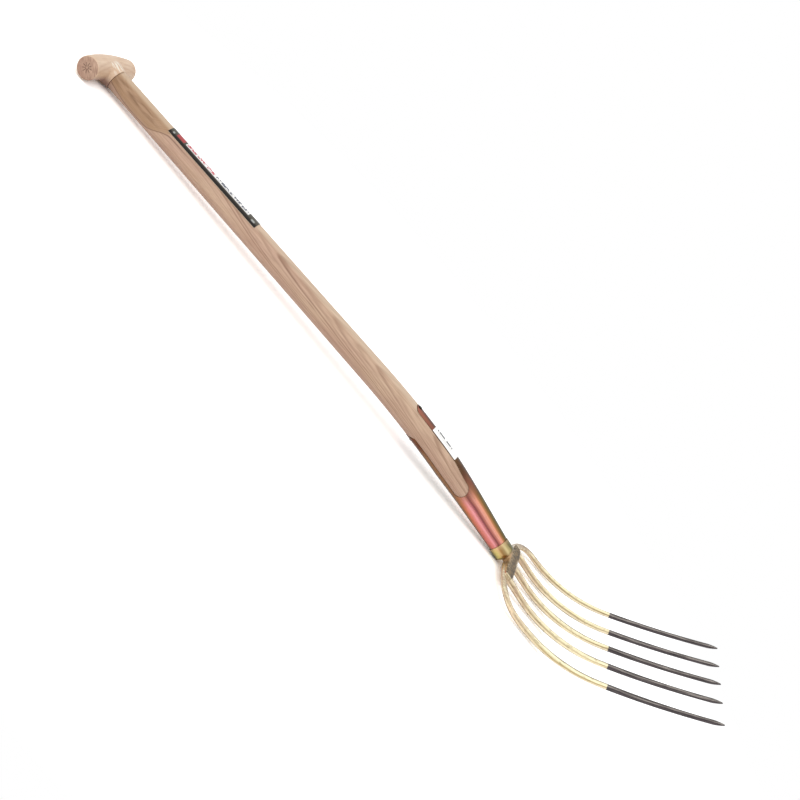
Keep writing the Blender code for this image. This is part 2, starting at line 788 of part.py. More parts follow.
def make_head(material):
    head = new_object("fork_head", bow_body(), material)
    weld(head, new_object("web", web_body()))
    weld(head, new_object("neck", neck_body()))
    for offset, splay in (
        (-INNER_TINE_OFFSET, -INNER_TINE_SPLAY),
        (0.0, 0.0),
        (INNER_TINE_OFFSET, INNER_TINE_SPLAY),
    ):
        weld(head, new_object("inner_tine", inner_tine(offset, splay)))
    weld(head, new_object("tang", tang_body(0.0)))
    return finish(head)


# Sticker and label: thin sheets bent round what they are stuck to

def bent_sheet(start, length, half_angle, surface, thickness, rows):
    columns = 10
    rings = []
    for station in steps(start, start + length, rows):
        point, along, front = line_place(station)
        inner = surface(station) + CLEARANCE
        ring = []
        for radius, turns in (
            (inner + thickness, steps(-half_angle, half_angle, columns)),
            (inner, steps(half_angle, -half_angle, columns)),
        ):
            for turn in turns:
                side = Vector((0.0, math.sin(turn), 0.0))
                ring.append(point + radius * (math.cos(turn) * front + side))
        rings.append(ring)
    return loft(rings)


def make_sticker(material):
    body = bent_sheet(
        STICKER_START, STICKER_LENGTH, STICKER_HALF_ANGLE, shaft_radius, STICKER_THICKNESS, 2,
    )
    return finish(new_object("shaft_sticker", body, material))


def make_label(material):
    start = SOCKET_END - LABEL_END_HEIGHT - LABEL_LENGTH
    body = bent_sheet(start, LABEL_LENGTH, LABEL_HALF_ANGLE, socket_radius, LABEL_THICKNESS, 6)
    return finish(new_object("strap_label", body, material))


# Lay the fork on its back

def lowest_corner(pieces, turn):
    corners = [turn @ vertex.co for piece in pieces for vertex in piece.data.vertices]
    return min(corners, key=lambda corner: corner.z)


def resting_pitch(grip, lower_end):
    """Turn that brings the lowest points of the grip and of the steel end to one level."""
    pitch = 0.0
    for _ in range(RESTING_ROUNDS):
        turn = Matrix.Rotation(pitch, 4, "Y")
        slope = lowest_corner(lower_end, turn) - lowest_corner([grip], turn)
        pitch += math.atan2(slope.z, slope.x)
    return pitch


def lay_down(pieces, grip, lower_end):
    """Turn and move the fork: it rests on Z = 0, with the middle of its box above the origin."""
    pitch = resting_pitch(grip, lower_end)
    turn = Matrix.Rotation(pitch, 4, "Y")
    corners = [turn @ vertex.co for piece in pieces for vertex in piece.data.vertices]
    low = Vector(min(corner[axis] for corner in corners) for axis in range(3))
    high = Vector(max(corner[axis] for corner in corners) for axis in range(3))
    fork = bpy.data.objects.new("fork", None)
    bpy.context.scene.collection.objects.link(fork)
    fork.rotation_euler = (0.0, pitch, 0.0)
    fork.location = (-(low.x + high.x) / 2, -(low.y + high.y) / 2, -low.z)
    for piece in pieces:
        piece.parent = fork


def main():
    for item in list(bpy.data.objects):
        bpy.data.objects.remove(item)
    ash = plain_material("ash", (0.59, 0.38, 0.24), 0.5)
    pale_ash = plain_material("pale_ash", (0.72, 0.5, 0.33), 0.5)
    wedge_wood = plain_material("wedge_wood", (0.4, 0.22, 0.12), 0.6)
    plated = plain_material("chromated_steel", (0.62, 0.24, 0.16), 0.28, 1.0)
    plated_collar = plain_material("green_chromated_steel", (0.5, 0.45, 0.16), 0.28, 1.0)
    dark_steel = plain_material("dark_steel", (0.13, 0.12, 0.09), 0.45, 1.0)
    lacquer = plain_material("lacquered_steel", (0.74, 0.6, 0.38), 0.35, 0.6)
    black_film = plain_material("black_film", (0.03, 0.03, 0.03), 0.35)
    white_paper = plain_material("white_paper", (0.85, 0.85, 0.83), 0.7)
    grip = make_grip(pale_ash)
    lower_end = [make_socket(plated), make_collar(plated_collar), make_head(lacquer)]
    pieces = [
        grip,
        make_wedge(wedge_wood),
        make_shaft(ash),
        make_sticker(black_film),
        make_label(white_paper),
    ]
    pieces += lower_end
    for name, station, side in NAILS:
        pieces.append(make_nail(name, station, side, dark_steel))
    lay_down(pieces, grip, lower_end)


main()
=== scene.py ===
# Manure fork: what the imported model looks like.
# Each piece is modelled straight, with X running down the shaft from the grip, and is then bent
# along the middle line of the fork. Sizes are in metres.

import math

import bpy
from mathutils import Matrix, Vector


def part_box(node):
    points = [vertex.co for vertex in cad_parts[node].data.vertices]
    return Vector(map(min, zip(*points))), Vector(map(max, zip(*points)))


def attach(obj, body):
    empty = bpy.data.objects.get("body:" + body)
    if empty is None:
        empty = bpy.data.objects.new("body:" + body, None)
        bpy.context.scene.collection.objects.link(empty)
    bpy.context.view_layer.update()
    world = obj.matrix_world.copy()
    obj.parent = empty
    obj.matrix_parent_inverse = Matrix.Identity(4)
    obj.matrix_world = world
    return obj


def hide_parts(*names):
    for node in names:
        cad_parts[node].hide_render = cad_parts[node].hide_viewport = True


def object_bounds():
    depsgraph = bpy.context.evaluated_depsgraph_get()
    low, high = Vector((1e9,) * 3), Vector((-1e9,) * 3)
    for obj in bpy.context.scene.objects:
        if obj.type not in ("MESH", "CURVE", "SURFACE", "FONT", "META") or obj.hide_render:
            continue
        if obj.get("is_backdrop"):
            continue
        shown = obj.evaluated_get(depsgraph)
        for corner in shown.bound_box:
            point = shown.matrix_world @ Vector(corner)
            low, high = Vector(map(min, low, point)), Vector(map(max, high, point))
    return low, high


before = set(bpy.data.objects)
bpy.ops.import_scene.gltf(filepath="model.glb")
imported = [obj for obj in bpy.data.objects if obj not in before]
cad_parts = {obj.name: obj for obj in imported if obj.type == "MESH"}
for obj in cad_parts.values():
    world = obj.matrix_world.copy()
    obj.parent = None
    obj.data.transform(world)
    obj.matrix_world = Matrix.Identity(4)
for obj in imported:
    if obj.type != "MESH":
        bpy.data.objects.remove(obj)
cadLow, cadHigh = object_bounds()
print("frame loaded,", len(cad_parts), "nodes")


gap = 0.0003  # between neighbouring pieces
margin = 0.012  # how far a cutting tool stands past what it cuts
step = 0.00001  # the length of a step from one size to another

# the middle line: straight, the bend, straight, the heel of the tines, and their long sweep
forkLine = {
    "gripToBend": 0.522,
    "bendLength": 0.22,
    "bendAngle": math.radians(9),
    "bendToSocketEnd": 0.061,
    "socketEndToHeel": 0.065,
    "heelRadius": 0.1975,
    "heelAngle": math.radians(39),
    "sweepRadius": 1.25,
    "sweepLength": 0.161,
    "lyingPitch": -0.032059,
    "gripCentre": (-0.5531875, 0, 0.0167594),
}

bendEnd = forkLine["gripToBend"] + forkLine["bendLength"]
socketEnd = bendEnd + forkLine["bendToSocketEnd"]
heelStart = socketEnd + forkLine["socketEndToHeel"]
sweepStart = heelStart + forkLine["heelRadius"] * forkLine["heelAngle"]
tineEnd = sweepStart + forkLine["sweepLength"]
lineParts = [
    (forkLine["gripToBend"], 0),
    (forkLine["bendLength"], -forkLine["bendAngle"]),
    (heelStart - bendEnd, 0),
    (sweepStart - heelStart, forkLine["heelAngle"]),
    (forkLine["sweepLength"], forkLine["sweepLength"] / forkLine["sweepRadius"]),
]
pitch = Matrix.Rotation(forkLine["lyingPitch"], 4, "Y")
lying = Matrix.Translation(forkLine["gripCentre"]) @ pitch


def placeOnFork(station, across, front):
    point = Vector((0, 0, 0))
    angle = 0
    left = station
    for number, (length, turn) in enumerate(lineParts):
        last = number == len(lineParts) - 1
        run = left if last else min(left, length)
        bend = turn * run / length
        chord = run if abs(bend) < 1e-9 else 2 * run / bend * math.sin(bend / 2)
        point += chord * Vector((math.cos(angle + bend / 2), 0, math.sin(angle + bend / 2)))
        angle += bend
        left -= run
        if left <= 0 and not last:
            break
    point += Vector((-math.sin(angle) * front, across, math.cos(angle) * front))
    return lying @ point


def evenSteps(start, end, count):
    return [start + (end - start) * number / count for number in range(count + 1)]


def clamped(share):
    return min(max(share, 0), 1)


def smoothStep(share):
    share = clamped(share)
    return share * share * (3 - 2 * share)


# modelling helpers

def deselectAll():
    if bpy.context.object and bpy.context.object.mode != "OBJECT":
        bpy.ops.object.mode_set(mode="OBJECT")
    bpy.ops.object.select_all(action="DESELECT")


def makeActive(piece):
    deselectAll()
    piece.select_set(True)
    bpy.context.view_layer.objects.active = piece


def applyPlace():
    bpy.ops.object.transform_apply(location=True, rotation=True, scale=True)


def pointOutwards():
    bpy.ops.object.mode_set(mode="EDIT")
    bpy.ops.mesh.select_all(action="SELECT")
    bpy.ops.mesh.normals_make_consistent(inside=False)
    bpy.ops.object.mode_set(mode="OBJECT")


def drawOut(name, sides, sections):
    # sections are (centre, heading in the XY plane, half width, half depth); 4 sides give a bar
    deselectAll()
    centre, heading, width, depth = sections[0]
    turned = (0, math.pi / 2, heading)
    if sides == 4:
        bpy.ops.mesh.primitive_plane_add(size=2, location=centre, rotation=turned)
    else:
        bpy.ops.mesh.primitive_circle_add(
            vertices=sides, radius=1, fill_type="NGON", location=centre, rotation=turned,
        )
    piece = bpy.context.object
    piece.name = name
    applyPlace()
    bpy.ops.object.mode_set(mode="EDIT")
    bpy.ops.mesh.select_all(action="SELECT")
    bpy.ops.transform.resize(value=(width, width, depth), center_override=centre)
    for nextCentre, nextHeading, nextWidth, nextDepth in sections[1:]:
        move = Vector(nextCentre) - Vector(centre)
        bpy.ops.mesh.extrude_region_move(TRANSFORM_OT_translate={"value": move})
        if nextHeading != heading:
            turn = heading - nextHeading
            bpy.ops.transform.rotate(value=turn, orient_axis="Z", center_override=nextCentre)
        grow = (nextWidth / width, nextWidth / width, nextDepth / depth)
        bpy.ops.transform.resize(value=grow, center_override=nextCentre)
        centre, heading, width, depth = nextCentre, nextHeading, nextWidth, nextDepth
    pointOutwards()
    return piece


def drawAlong(name, sides, rows):
    # along X, from (station, half width, half depth) rows
    sections = [((x, 0, 0), 0, wide, deep) for x, wide, deep in rows]
    return drawOut(name, sides, sections)


def drawRound(name, sides, rows):
    return drawAlong(name, sides, [(x, radius, radius) for x, radius in rows])


def addBlock(name, low, high):
    deselectAll()
    centre = [(a + b) / 2 for a, b in zip(low, high)]
    bpy.ops.mesh.primitive_cube_add(size=1, location=centre)
    block = bpy.context.object
    block.name = name
    block.scale = [b - a for a, b in zip(low, high)]
    applyPlace()
    return block


def applyModifier(piece, kind, **settings):
    makeActive(piece)
    modifier = piece.modifiers.new(kind.title(), kind)
    for key, value in settings.items():
        setattr(modifier, key, value)
    bpy.ops.object.modifier_apply(modifier=modifier.name)


def cutAway(piece, tool):
    applyModifier(piece, "BOOLEAN", operation="DIFFERENCE", solver="EXACT", object=tool)
    bpy.data.objects.remove(tool)


def joinInto(piece, others):
    makeActive(piece)
    for other in others:
        other.select_set(True)
    bpy.ops.object.join()


def forgeTogether(piece, grain, rounds):
    # fuses overlapping bodies into one skin and eases the creases between them
    applyModifier(piece, "REMESH", mode="VOXEL", voxel_size=grain, adaptivity=0)
    applyModifier(piece, "SMOOTH", factor=0.5, iterations=rounds)


def roundEdges(piece, width, segments=2, angle=40):
    applyModifier(
        piece, "BEVEL", width=width, segments=segments, limit_method="ANGLE",
        angle_limit=math.radians(angle), use_clamp_overlap=True,
    )


def rememberPlace(piece):
    # what the patterns read: where each point was on the straight fork, and which way it faced
    spots = piece.data.attributes.new("straight", "FLOAT_VECTOR", "POINT")
    for spot, vertex in zip(spots.data, piece.data.vertices):
        spot.vector = vertex.co
    ways = piece.data.attributes.new("facing", "FLOAT_VECTOR", "CORNER")
    for way, normal in zip(ways.data, piece.data.corner_normals):
        way.vector = normal.vector


def layOnFork(piece, smoothAngle):
    makeActive(piece)
    bpy.ops.object.shade_smooth_by_angle(angle=math.radians(smoothAngle))
    rememberPlace(piece)
    for vertex in piece.data.vertices:
        vertex.co = placeOnFork(*vertex.co)


def dress(piece, node, material, smoothAngle=40):
    layOnFork(piece, smoothAngle)
    piece.data.materials.clear()
    piece.data.materials.append(material)
    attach(piece, "root")
    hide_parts(node)
    low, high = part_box(node)
    off = 0
    for axis in range(3):
        values = [vertex.co[axis] for vertex in piece.data.vertices]
        off = max(off, abs(min(values) - low[axis]), abs(max(values) - high[axis]))
    faces = len(piece.data.polygons)
    print(piece.name, "done,", faces, "faces, box within %.2f mm" % (off * 1000))


# material helpers: they add to the current node tree; a mask is 0 to 1, and a look is a colour
# and how thickly it lies

current = {}


def shade(red, green, blue):
    # a colour as seen on a screen, 0 to 255, as the shader wants it
    linear = []
    for value in (red, green, blue):
        value = value / 255
        linear.append(value / 12.92 if value <= 0.04045 else ((value + 0.055) / 1.055) ** 2.4)
    return (*linear, 1)


def feed(node, inputs):
    # a socket is linked, and anything else is set as a plain value
    for key, value in inputs.items():
        if isinstance(value, bpy.types.NodeSocket):
            current["tree"].links.new(value, node.inputs[key])
        else:
            node.inputs[key].default_value = value


def addNode(kind, inputs=None, **settings):
    made = current["tree"].nodes.new(kind)
    for key, value in settings.items():
        setattr(made, key, value)
    feed(made, inputs or {})
    return made


def newMaterial(name, roughness, metallic=0):
    material = bpy.data.materials.new(name)
    material.use_nodes = True
    current["tree"] = material.node_tree
    shader = material.node_tree.nodes["Principled BSDF"]
    feed(shader, {"Roughness": roughness, "Metallic": metallic})
    return material, shader


def straightPlace(name="straight"):
    return addNode("ShaderNodeAttribute", attribute_name=name).outputs["Vector"]


def calc(operation, first, second=0, third=0, clamp=False):
    inputs = {0: first, 1: second, 2: third}
    return addNode("ShaderNodeMath", inputs, operation=operation, use_clamp=clamp).outputs[0]


def scaled(value, gain, shift=0, clamp=False):
    return calc("MULTIPLY_ADD", value, gain, shift, clamp)


def mapped(value, low, high, start=0, end=1, easing="LINEAR"):
    # goes from start to end as the value goes from low to high
    inputs = {0: value, 1: low, 2: high, 3: start, 4: end}
    return addNode("ShaderNodeMapRange", inputs, interpolation_type=easing).outputs[0]


def splitUp(vector):
    return addNode("ShaderNodeSeparateXYZ", {0: vector}).outputs


def lengthOf(vector):
    return addNode("ShaderNodeVectorMath", {0: vector}, operation="LENGTH").outputs["Value"]


def joinUp(x, y, z):
    return addNode("ShaderNodeCombineXYZ", {0: x, 1: y, 2: z}).outputs[0]


def stretch(place, scale):
    return addNode("ShaderNodeMapping", {"Vector": place, "Scale": scale}).outputs[0]


def noiseOf(place, scale, detail=2, roughness=0.5):
    place = stretch(place, scale)
    inputs = {"Vector": place, "Scale": 1, "Detail": detail, "Roughness": roughness}
    return addNode("ShaderNodeTexNoise", inputs).outputs[0]


def patchesOf(place, scale, gain, shift, detail=3, roughness=0.5):
    # noise as a mask: the gain makes its edges hard, and the shift makes its patches few
    noise = noiseOf(place, scale, detail, roughness)
    return scaled(noise, gain, shift, clamp=True)


def swayOf(place, scale, size, detail=2, roughness=0.5):
    # noise about zero, by up to half the size either way
    noise = noiseOf(place, scale, detail, roughness)
    return scaled(noise, size, -size / 2)


def chanceOf(value):
    # one random number for each whole number
    whole = {"W": calc("FLOOR", value)}
    return addNode("ShaderNodeTexWhiteNoise", whole, noise_dimensions="1D").outputs["Value"]


def rampOf(value, stops, easing="LINEAR"):
    made = addNode("ShaderNodeValToRGB", {0: value})
    ramp = made.color_ramp
    ramp.interpolation = easing
    for number, (position, colour) in enumerate(stops):
        stop = ramp.elements[number] if number < 2 else ramp.elements.new(position)
        stop.position = position
        stop.color = colour
    return made.outputs[0]


def above(value, edge, soft):
    return mapped(value, edge - soft, edge + soft, 0, 1, "SMOOTHSTEP")


def below(value, edge, soft):
    return mapped(value, edge - soft, edge + soft, 1, 0, "SMOOTHSTEP")


def between(value, low, high, soft):
    return allOf(above(value, low, soft), below(value, high, soft))


def allOf(*masks):
    product = masks[0]
    for mask in masks[1:]:
        product = calc("MULTIPLY", product, mask)
    return product


def curveOf(value, points):
    # a drawn curve of (value, height) points, both in metres
    lowX, highX = points[0][0], points[-1][0]
    lowY, highY = min(y for x, y in points), max(y for x, y in points)
    made = addNode("ShaderNodeFloatCurve", {"Value": mapped(value, lowX, highX)})
    curve = made.mapping.curves[0]
    for number, (x, y) in enumerate(points):
        spot = ((x - lowX) / (highX - lowX), (y - lowY) / (highY - lowY))
        if number < 2:
            curve.points[number].location = spot
        else:
            curve.points.new(*spot)
    made.mapping.update()
    return scaled(made.outputs[0], highY - lowY, lowY)


def turnRound(y, z, waver=0):
    # degrees round the shaft: 0 in front, 90 on the near side
    angle = calc("ARCTAN2", calc("MULTIPLY", y, -1), z)
    return scaled(angle, 180 / math.pi, waver)


def bandsRound(turn, bands):
    # colours at angles round a piece, from behind over the far side, front and near side
    share = scaled(turn, 1 / 360, 0.5)
    stops = [(angle / 360 + 0.5, shade(*colour)) for angle, colour in bands]
    return rampOf(share, stops, "EASE")


def mixColour(share, first, second):
    # either colour may be a socket or three plain numbers
    inputs = {0: share, 6: first, 7: second}
    for key in (6, 7):
        if not isinstance(inputs[key], bpy.types.NodeSocket):
            inputs[key] = shade(*inputs[key])
    return addNode("ShaderNodeMix", inputs, data_type="RGBA").outputs[2]


def coat(body, look, *masks):
    colour, thickness = look
    return mixColour(allOf(*masks, thickness), body, colour)


def bumpOf(height, strength, distance):
    inputs = {"Height": height, "Strength": strength, "Distance": distance}
    return addNode("ShaderNodeBump", inputs).outputs[0]


def finish(shader, body, grit, rough, bump):
    # fine grit makes the shine uneven and the surface a little rough
    rough = scaled(grit, *rough)
    feed(shader, {"Base Color": body, "Roughness": rough, "Normal": bumpOf(grit, *bump)})


# wood: growth layers that rise and fall along the grain, cut by the surface

woodLook = {
    "contrast": (0.85, 0.15),
    # how dark one layer's late wood is, from the layer's start to its end
    "lateWood": [(0, 0.3), (0.14, 1), (0.34, 0.8), (0.6, 0.1), (0.85, 0), (1, 0.3)],
    "porosity": (0.7, 0.4),
    "bump": (0.4, 0.00025),
}


def woodMaterial(name, wood, grainPlace):
    material, shader = newMaterial(name, wood["roughness"])
    place = grainPlace()
    x, y, z = splitUp(place)
    # the layers drift, turn about the grain, bow about the pith and rise and fall
    layer = calc("ADD", swayOf(place, *wood["drift"]), z)
    start, end, angle = wood["twist"]
    twist = mapped(x, start, end, 0, angle)
    layer = calc("MULTIPLY", layer, calc("COSINE", twist))
    layer = calc("SUBTRACT", layer, calc("MULTIPLY", y, calc("SINE", twist)))
    across, depth = wood["pith"]
    off = calc("SUBTRACT", y, across)
    layer = scaled(calc("MULTIPLY", off, off), 0.5 / depth, layer)
    layer = calc("SUBTRACT", layer, curveOf(x, wood["layerHeights"]))
    phase = calc("DIVIDE", layer, wood["layerWidth"])
    strength = calc("POWER", chanceOf(phase), 2)
    strength = scaled(strength, *woodLook["contrast"])
    greys = [(share, (grey, grey, grey, 1)) for share, grey in woodLook["lateWood"]]
    lateWood = allOf(rampOf(calc("FRACT", phase), greys), strength)
    cloud = patchesOf(place, *wood["cloud"])
    body = mixColour(cloud, wood["baseColour"], wood["cloudColour"])
    body = coat(body, wood["layerLook"], lateWood)
    streaks = patchesOf(place, *wood["streaks"])
    body = coat(body, wood["streakLook"], streaks)
    porous = scaled(lateWood, *woodLook["porosity"])
    pores = allOf(patchesOf(place, *wood["pores"]), porous)
    body = coat(body, wood["poreLook"], pores)
    height = scaled(streaks, -0.3, calc("MULTIPLY", pores, -1))
    feed(shader, {"Normal": bumpOf(height, *woodLook["bump"])})
    return material, shader, body, layer


# T grip

tGrip = {
    "length": 0.112,
    "endDiameter": 0.0304,
    "middleDiameter": 0.0324,
    "crown": 0.004,
    "edgeRadius": 0.0016,
    "hubRise": 0.0058,
    "hubLip": 0.0008,
    "hubBulge": 0.0016,
    "hubHalfLength": 0.044,
    "tenonDiameter": 0.0214,
    "shaftTopDiameter": 0.0294,
    "grain": 0.0008,
    "wood": {
        "baseColour": (222, 197, 171),
        "cloudColour": (212, 181, 151),
        "layerLook": ((185, 147, 118), 0.5),
        "streakLook": ((194, 160, 133), 0.5),
        "poreLook": ((149, 111, 86), 0.35),
        "cloud": ((34, 60, 60), 3, -1),
        "streaks": ((22, 420, 420), 3.6, -1.4, 4, 0.65),
        "pores": ((60, 1500, 1500), 7, -4, 2),
        "layerWidth": 0.0042,
        "layerHeights": [
            (-0.06, -0.004), (-0.03, 0), (0, 0.003), (0.03, 0.001), (0.06, -0.005),
        ],
        "twist": (0, 1, 0),
        "pith": (0.012, 0.05),
        "drift": ((12, 30, 30), 0.007),
        "roughness": 0.45,
    },
    "endColour": (188, 155, 131),
    "endDarkColour": (147, 113, 94),
    "endLines": ((420, 1, 90), 3, -1),
    "endRedLook": ((155, 115, 99), 0.5),
    "spurs": 9,
    "spurReach": 0.0053,
    "spurWidth": 0.001,
    "spurLook": ((86, 56, 36), 0.85),
    "glints": ((60, 420, 200), 8, -3.9, 2),
    "glintLook": ((229, 220, 205), 1),
    # where the glints lie: across, away from the bar, and in front
    "glintAcross": (-0.017, 0.003),
    "glintAlong": (0.001, 0.02),
    "glintFront": 0.009,
    # painted shade on faces turned towards the shaft, and darker reddish painted shade under the
    # hub
    "shadeLook": ((171, 133, 109), 0.15),
    "underShadeLook": ((124, 83, 72), 0.8),
}

shoulder = tGrip["middleDiameter"] / 2 - tGrip["crown"] + tGrip["hubRise"]


def gripBlank(name):
    half = tGrip["length"] / 2
    corner = tGrip["edgeRadius"]
    swell = (tGrip["middleDiameter"] - tGrip["endDiameter"]) / 2

    def barRadius(offset):
        return tGrip["endDiameter"] / 2 + swell * (1 - (offset / half) ** 2)

    rim = []
    for angle in evenSteps(0, math.pi / 2, 5)[1:]:
        drop = corner * (1 - math.cos(angle))
        rim.append((half - corner + corner * math.sin(angle), barRadius(half - corner) - drop))
    rows = [(-offset, radius) for offset, radius in reversed(rim)]
    rows += [(x, barRadius(x)) for x in evenSteps(-half + corner, half - corner, 28)] + rim
    sections = []
    for offset, radius in rows:
        bow = -tGrip["crown"] * (1 - (offset / half) ** 2)
        sections.append(((bow, offset, 0), math.pi / 2, radius, radius))
    bar = drawOut(name, 64, sections)
    # the hub runs from the whole width of the bar to the mouth round the shaft
    mouth = tGrip["shaftTopDiameter"] / 2 + tGrip["hubLip"]
    rows = []
    for share in evenSteps(0, 1, 14):
        station = -tGrip["crown"] + (shoulder + tGrip["crown"]) * share
        halfLength = mouth + (tGrip["hubHalfLength"] - mouth) * (1 - share) ** 2
        rows.append((station, halfLength, mouth + tGrip["hubBulge"] * math.sin(share * math.pi)))
    joinInto(bar, [drawAlong("hub", 64, rows)])
    forgeTogether(bar, tGrip["grain"], 4)
    return bar


def gripGrain():
    # the grain runs along the bar
    x, y, z = splitUp(straightPlace())
    return joinUp(y, x, z)


def sawnEnd(place, x, z):
    # sawn end grain, with the short cuts that the lathe's driving centre leaves
    slant = calc("ADD", x, z)
    lines = joinUp(slant, 0, calc("SUBTRACT", x, z))
    lines = patchesOf(lines, *tGrip["endLines"])
    body = mixColour(lines, tGrip["endDarkColour"], tGrip["endColour"])
    body = coat(body, tGrip["endRedLook"], scaled(slant, -40, 0.2, clamp=True))
    middleX = calc("ADD", x, 0.001)
    fromCentre = lengthOf(joinUp(middleX, 0, z))
    apart = 2 * math.pi / tGrip["spurs"]
    turn = calc("DIVIDE", calc("ARCTAN2", z, middleX), apart)
    offLine = calc("ABSOLUTE", calc("SUBTRACT", calc("FRACT", turn), 0.5))
    offLine = calc("MULTIPLY", calc("MULTIPLY", offLine, fromCentre), apart)
    reach = scaled(noiseOf(place, (500, 500, 500), 1), -0.003, fromCentre)
    reach = between(reach, 0.0001, tGrip["spurReach"], 0.0006)
    return coat(body, tGrip["spurLook"], below(offLine, tGrip["spurWidth"] / 2, 0.0003), reach)


def gripMaterial():
    material, shader, body, _ = woodMaterial("paleAshWood", tGrip["wood"], gripGrain)
    place = straightPlace()
    x, y, z = splitUp(place)
    facingX, facingY, _ = splitUp(straightPlace("facing"))
    # painted glints: bright highlights on the fibres where the hub was cut across the grain
    nearHub = between(y, *tGrip["glintAcross"], 0.006)
    nearHub = allOf(nearHub, between(x, *tGrip["glintAlong"], 0.004))
    nearHub = allOf(nearHub, above(z, tGrip["glintFront"], 0.004))
    body = coat(body, tGrip["glintLook"], patchesOf(place, *tGrip["glints"]), nearHub)
    # painted shade where the bar turns towards the shaft, and darker reddish painted shade below
    body = coat(body, tGrip["shadeLook"], above(facingX, 0.55, 0.4))
    body = coat(body, tGrip["underShadeLook"], below(z, -0.003, 0.006), above(x, 0.006, 0.005))
    onEnd = above(calc("ABSOLUTE", facingY), 0.8, 0.1)
    onEnd = allOf(onEnd, above(calc("ABSOLUTE", y), 0.05, 0.001))
    feed(shader, {"Base Color": mixColour(onEnd, body, sawnEnd(place, x, z))})
    return material


def makeGrip():
    grip = gripBlank("ashTGrip")
    bore = tGrip["tenonDiameter"] / 2 + gap
    cutAway(grip, drawRound("bore", 64, [(-0.04, bore), (0.04, bore)]))
    dress(grip, "t_grip", gripMaterial())


def trimAtGrip(piece):
    # what stands out of the back of the grip is cut flush with its round
    reach = tGrip["tenonDiameter"] / 2 + margin / 2
    block = addBlock("overGrip", (-0.045, -reach, -reach), (-tGrip["crown"], reach, reach))
    cutAway(block, gripBlank("gripShape"))
    cutAway(piece, block)


makeGrip()


# Wedge that spreads the tenon

tenonWedge = {
    "depth": 0.024,
    "topThickness": 0.0034,
    "footThickness": 0.0012,
    "colour": (103, 68, 46),
    "darkColour": (72, 44, 29),
}


def wedgeShape(name, extra):
    top = -tGrip["crown"] - tGrip["middleDiameter"] / 2
    halfWidth = tGrip["tenonDiameter"] / 2 - 2 * gap + (margin / 2 if extra else 0)
    rows = [
        (top - margin / 2, tenonWedge["topThickness"]),
        (top, tenonWedge["topThickness"]),
        (top + tenonWedge["depth"] + extra, tenonWedge["footThickness"]),
    ]
    return drawAlong(name, 4, [(x, thick / 2 + extra, halfWidth) for x, thick in rows])


def makeWedge():
    wedge = wedgeShape("hardwoodWedge", 0)
    trimAtGrip(wedge)
    material, shader = newMaterial("wedgeWood", 0.55)
    lines = noiseOf(straightPlace(), (60, 900, 300), 3)
    body = mixColour(lines, tenonWedge["darkColour"], tenonWedge["colour"])
    feed(shader, {"Base Color": body, "Normal": bumpOf(lines, 0.3, 0.0003)})
    dress(wedge, "tenon_wedge", material)


makeWedge()


# Socket with its two straps

socket = {
    "shaftDiameter": 0.0366,
    "strapProud": 0.0006,
    "wall": 0.0016,
    "endDiameter": 0.0268,
    "taperLength": 0.121,
    "tubeLength": 0.0805,
    "frontStrapLength": 0.212,
    "backStrapLength": 0.191,
    "frontStrapHalfAngle": math.radians(34),
    "backStrapHalfAngle": math.radians(61),
    "strapFlare": 0.0032,
    "strapFlareLength": 0.036,
    "edgeRound": 0.0003,
}

strapRadius = socket["shaftDiameter"] / 2 + socket["strapProud"]
frontTip = socketEnd - socket["frontStrapLength"]
backTip = socketEnd - socket["backStrapLength"]
taperStart = socketEnd - socket["taperLength"]


def socketRadius(station):
    share = clamped((station - taperStart) / socket["taperLength"])
    return strapRadius + (socket["endDiameter"] / 2 - strapRadius) * share


def socketRows(start, end, outward):
    count = max(int((end - start) / 0.005), 1)
    return [(x, socketRadius(x) + outward) for x in evenSteps(start, end, count)]


def sideOpening(shrink):
    frontEdge = strapRadius * math.cos(socket["frontStrapHalfAngle"]) - shrink
    backEdge = -strapRadius * math.cos(socket["backStrapHalfAngle"]) + shrink
    lowEdge = frontEdge - socket["strapFlare"]
    radius = (lowEdge - backEdge) / 2
    end = socketEnd - socket["tubeLength"] - shrink - radius
    flareStart = end - socket["strapFlareLength"]
    rows = [(frontTip - margin, frontEdge, backEdge), (flareStart, frontEdge, backEdge)]
    for share in evenSteps(0, 1, 14)[1:]:
        x = flareStart + socket["strapFlareLength"] * share
        rows.append((x, frontEdge - socket["strapFlare"] * smoothStep(share), backEdge))
    middle = (lowEdge + backEdge) / 2
    for turn in (8, 16, 24, 32, 40, 48, 56, 64, 72, 79, 85, 89.5):
        angle = math.radians(turn)
        rise = radius * math.cos(angle)
        rows.append((end + radius * math.sin(angle), middle + rise, middle - rise))
    reach = strapRadius + margin
    sections = [((x, 0, (a + b) / 2), 0, reach, (a - b) / 2) for x, a, b in rows]
    return drawOut("sideOpening", 4, sections)


def tipTool(tip, halfAngle, side, grow):
    # all that lies outside the round end of a strap
    radius = strapRadius * math.sin(halfAngle) + grow
    wide = strapRadius + margin
    centre = tip - grow + radius
    low, high = (0, wide) if side > 0 else (-wide, 0)
    block = addBlock("tipBlock", (frontTip - 2 * margin, -wide, low), (centre, wide, high))
    deselectAll()
    bpy.ops.mesh.primitive_cylinder_add(
        vertices=96, radius=radius, depth=0.1, location=(centre, 0, 0),
    )
    disc = bpy.context.object
    applyPlace()
    cutAway(block, disc)
    return block


def strappedShell(name, boreGrow, outerGrow, edgeGrow):
    start = frontTip - 0.006
    shell = drawRound(name, 96, socketRows(start, socketEnd + edgeGrow, outerGrow))
    boreRows = socketRows(start - 0.01, socketEnd + edgeGrow + 0.01, -socket["wall"] - boreGrow)
    cutAway(shell, drawRound("bore", 96, boreRows))
    cutAway(shell, sideOpening(edgeGrow))
    cutAway(shell, tipTool(frontTip, socket["frontStrapHalfAngle"], 1, edgeGrow))
    cutAway(shell, tipTool(backTip, socket["backStrapHalfAngle"], -1, edgeGrow))
    return shell


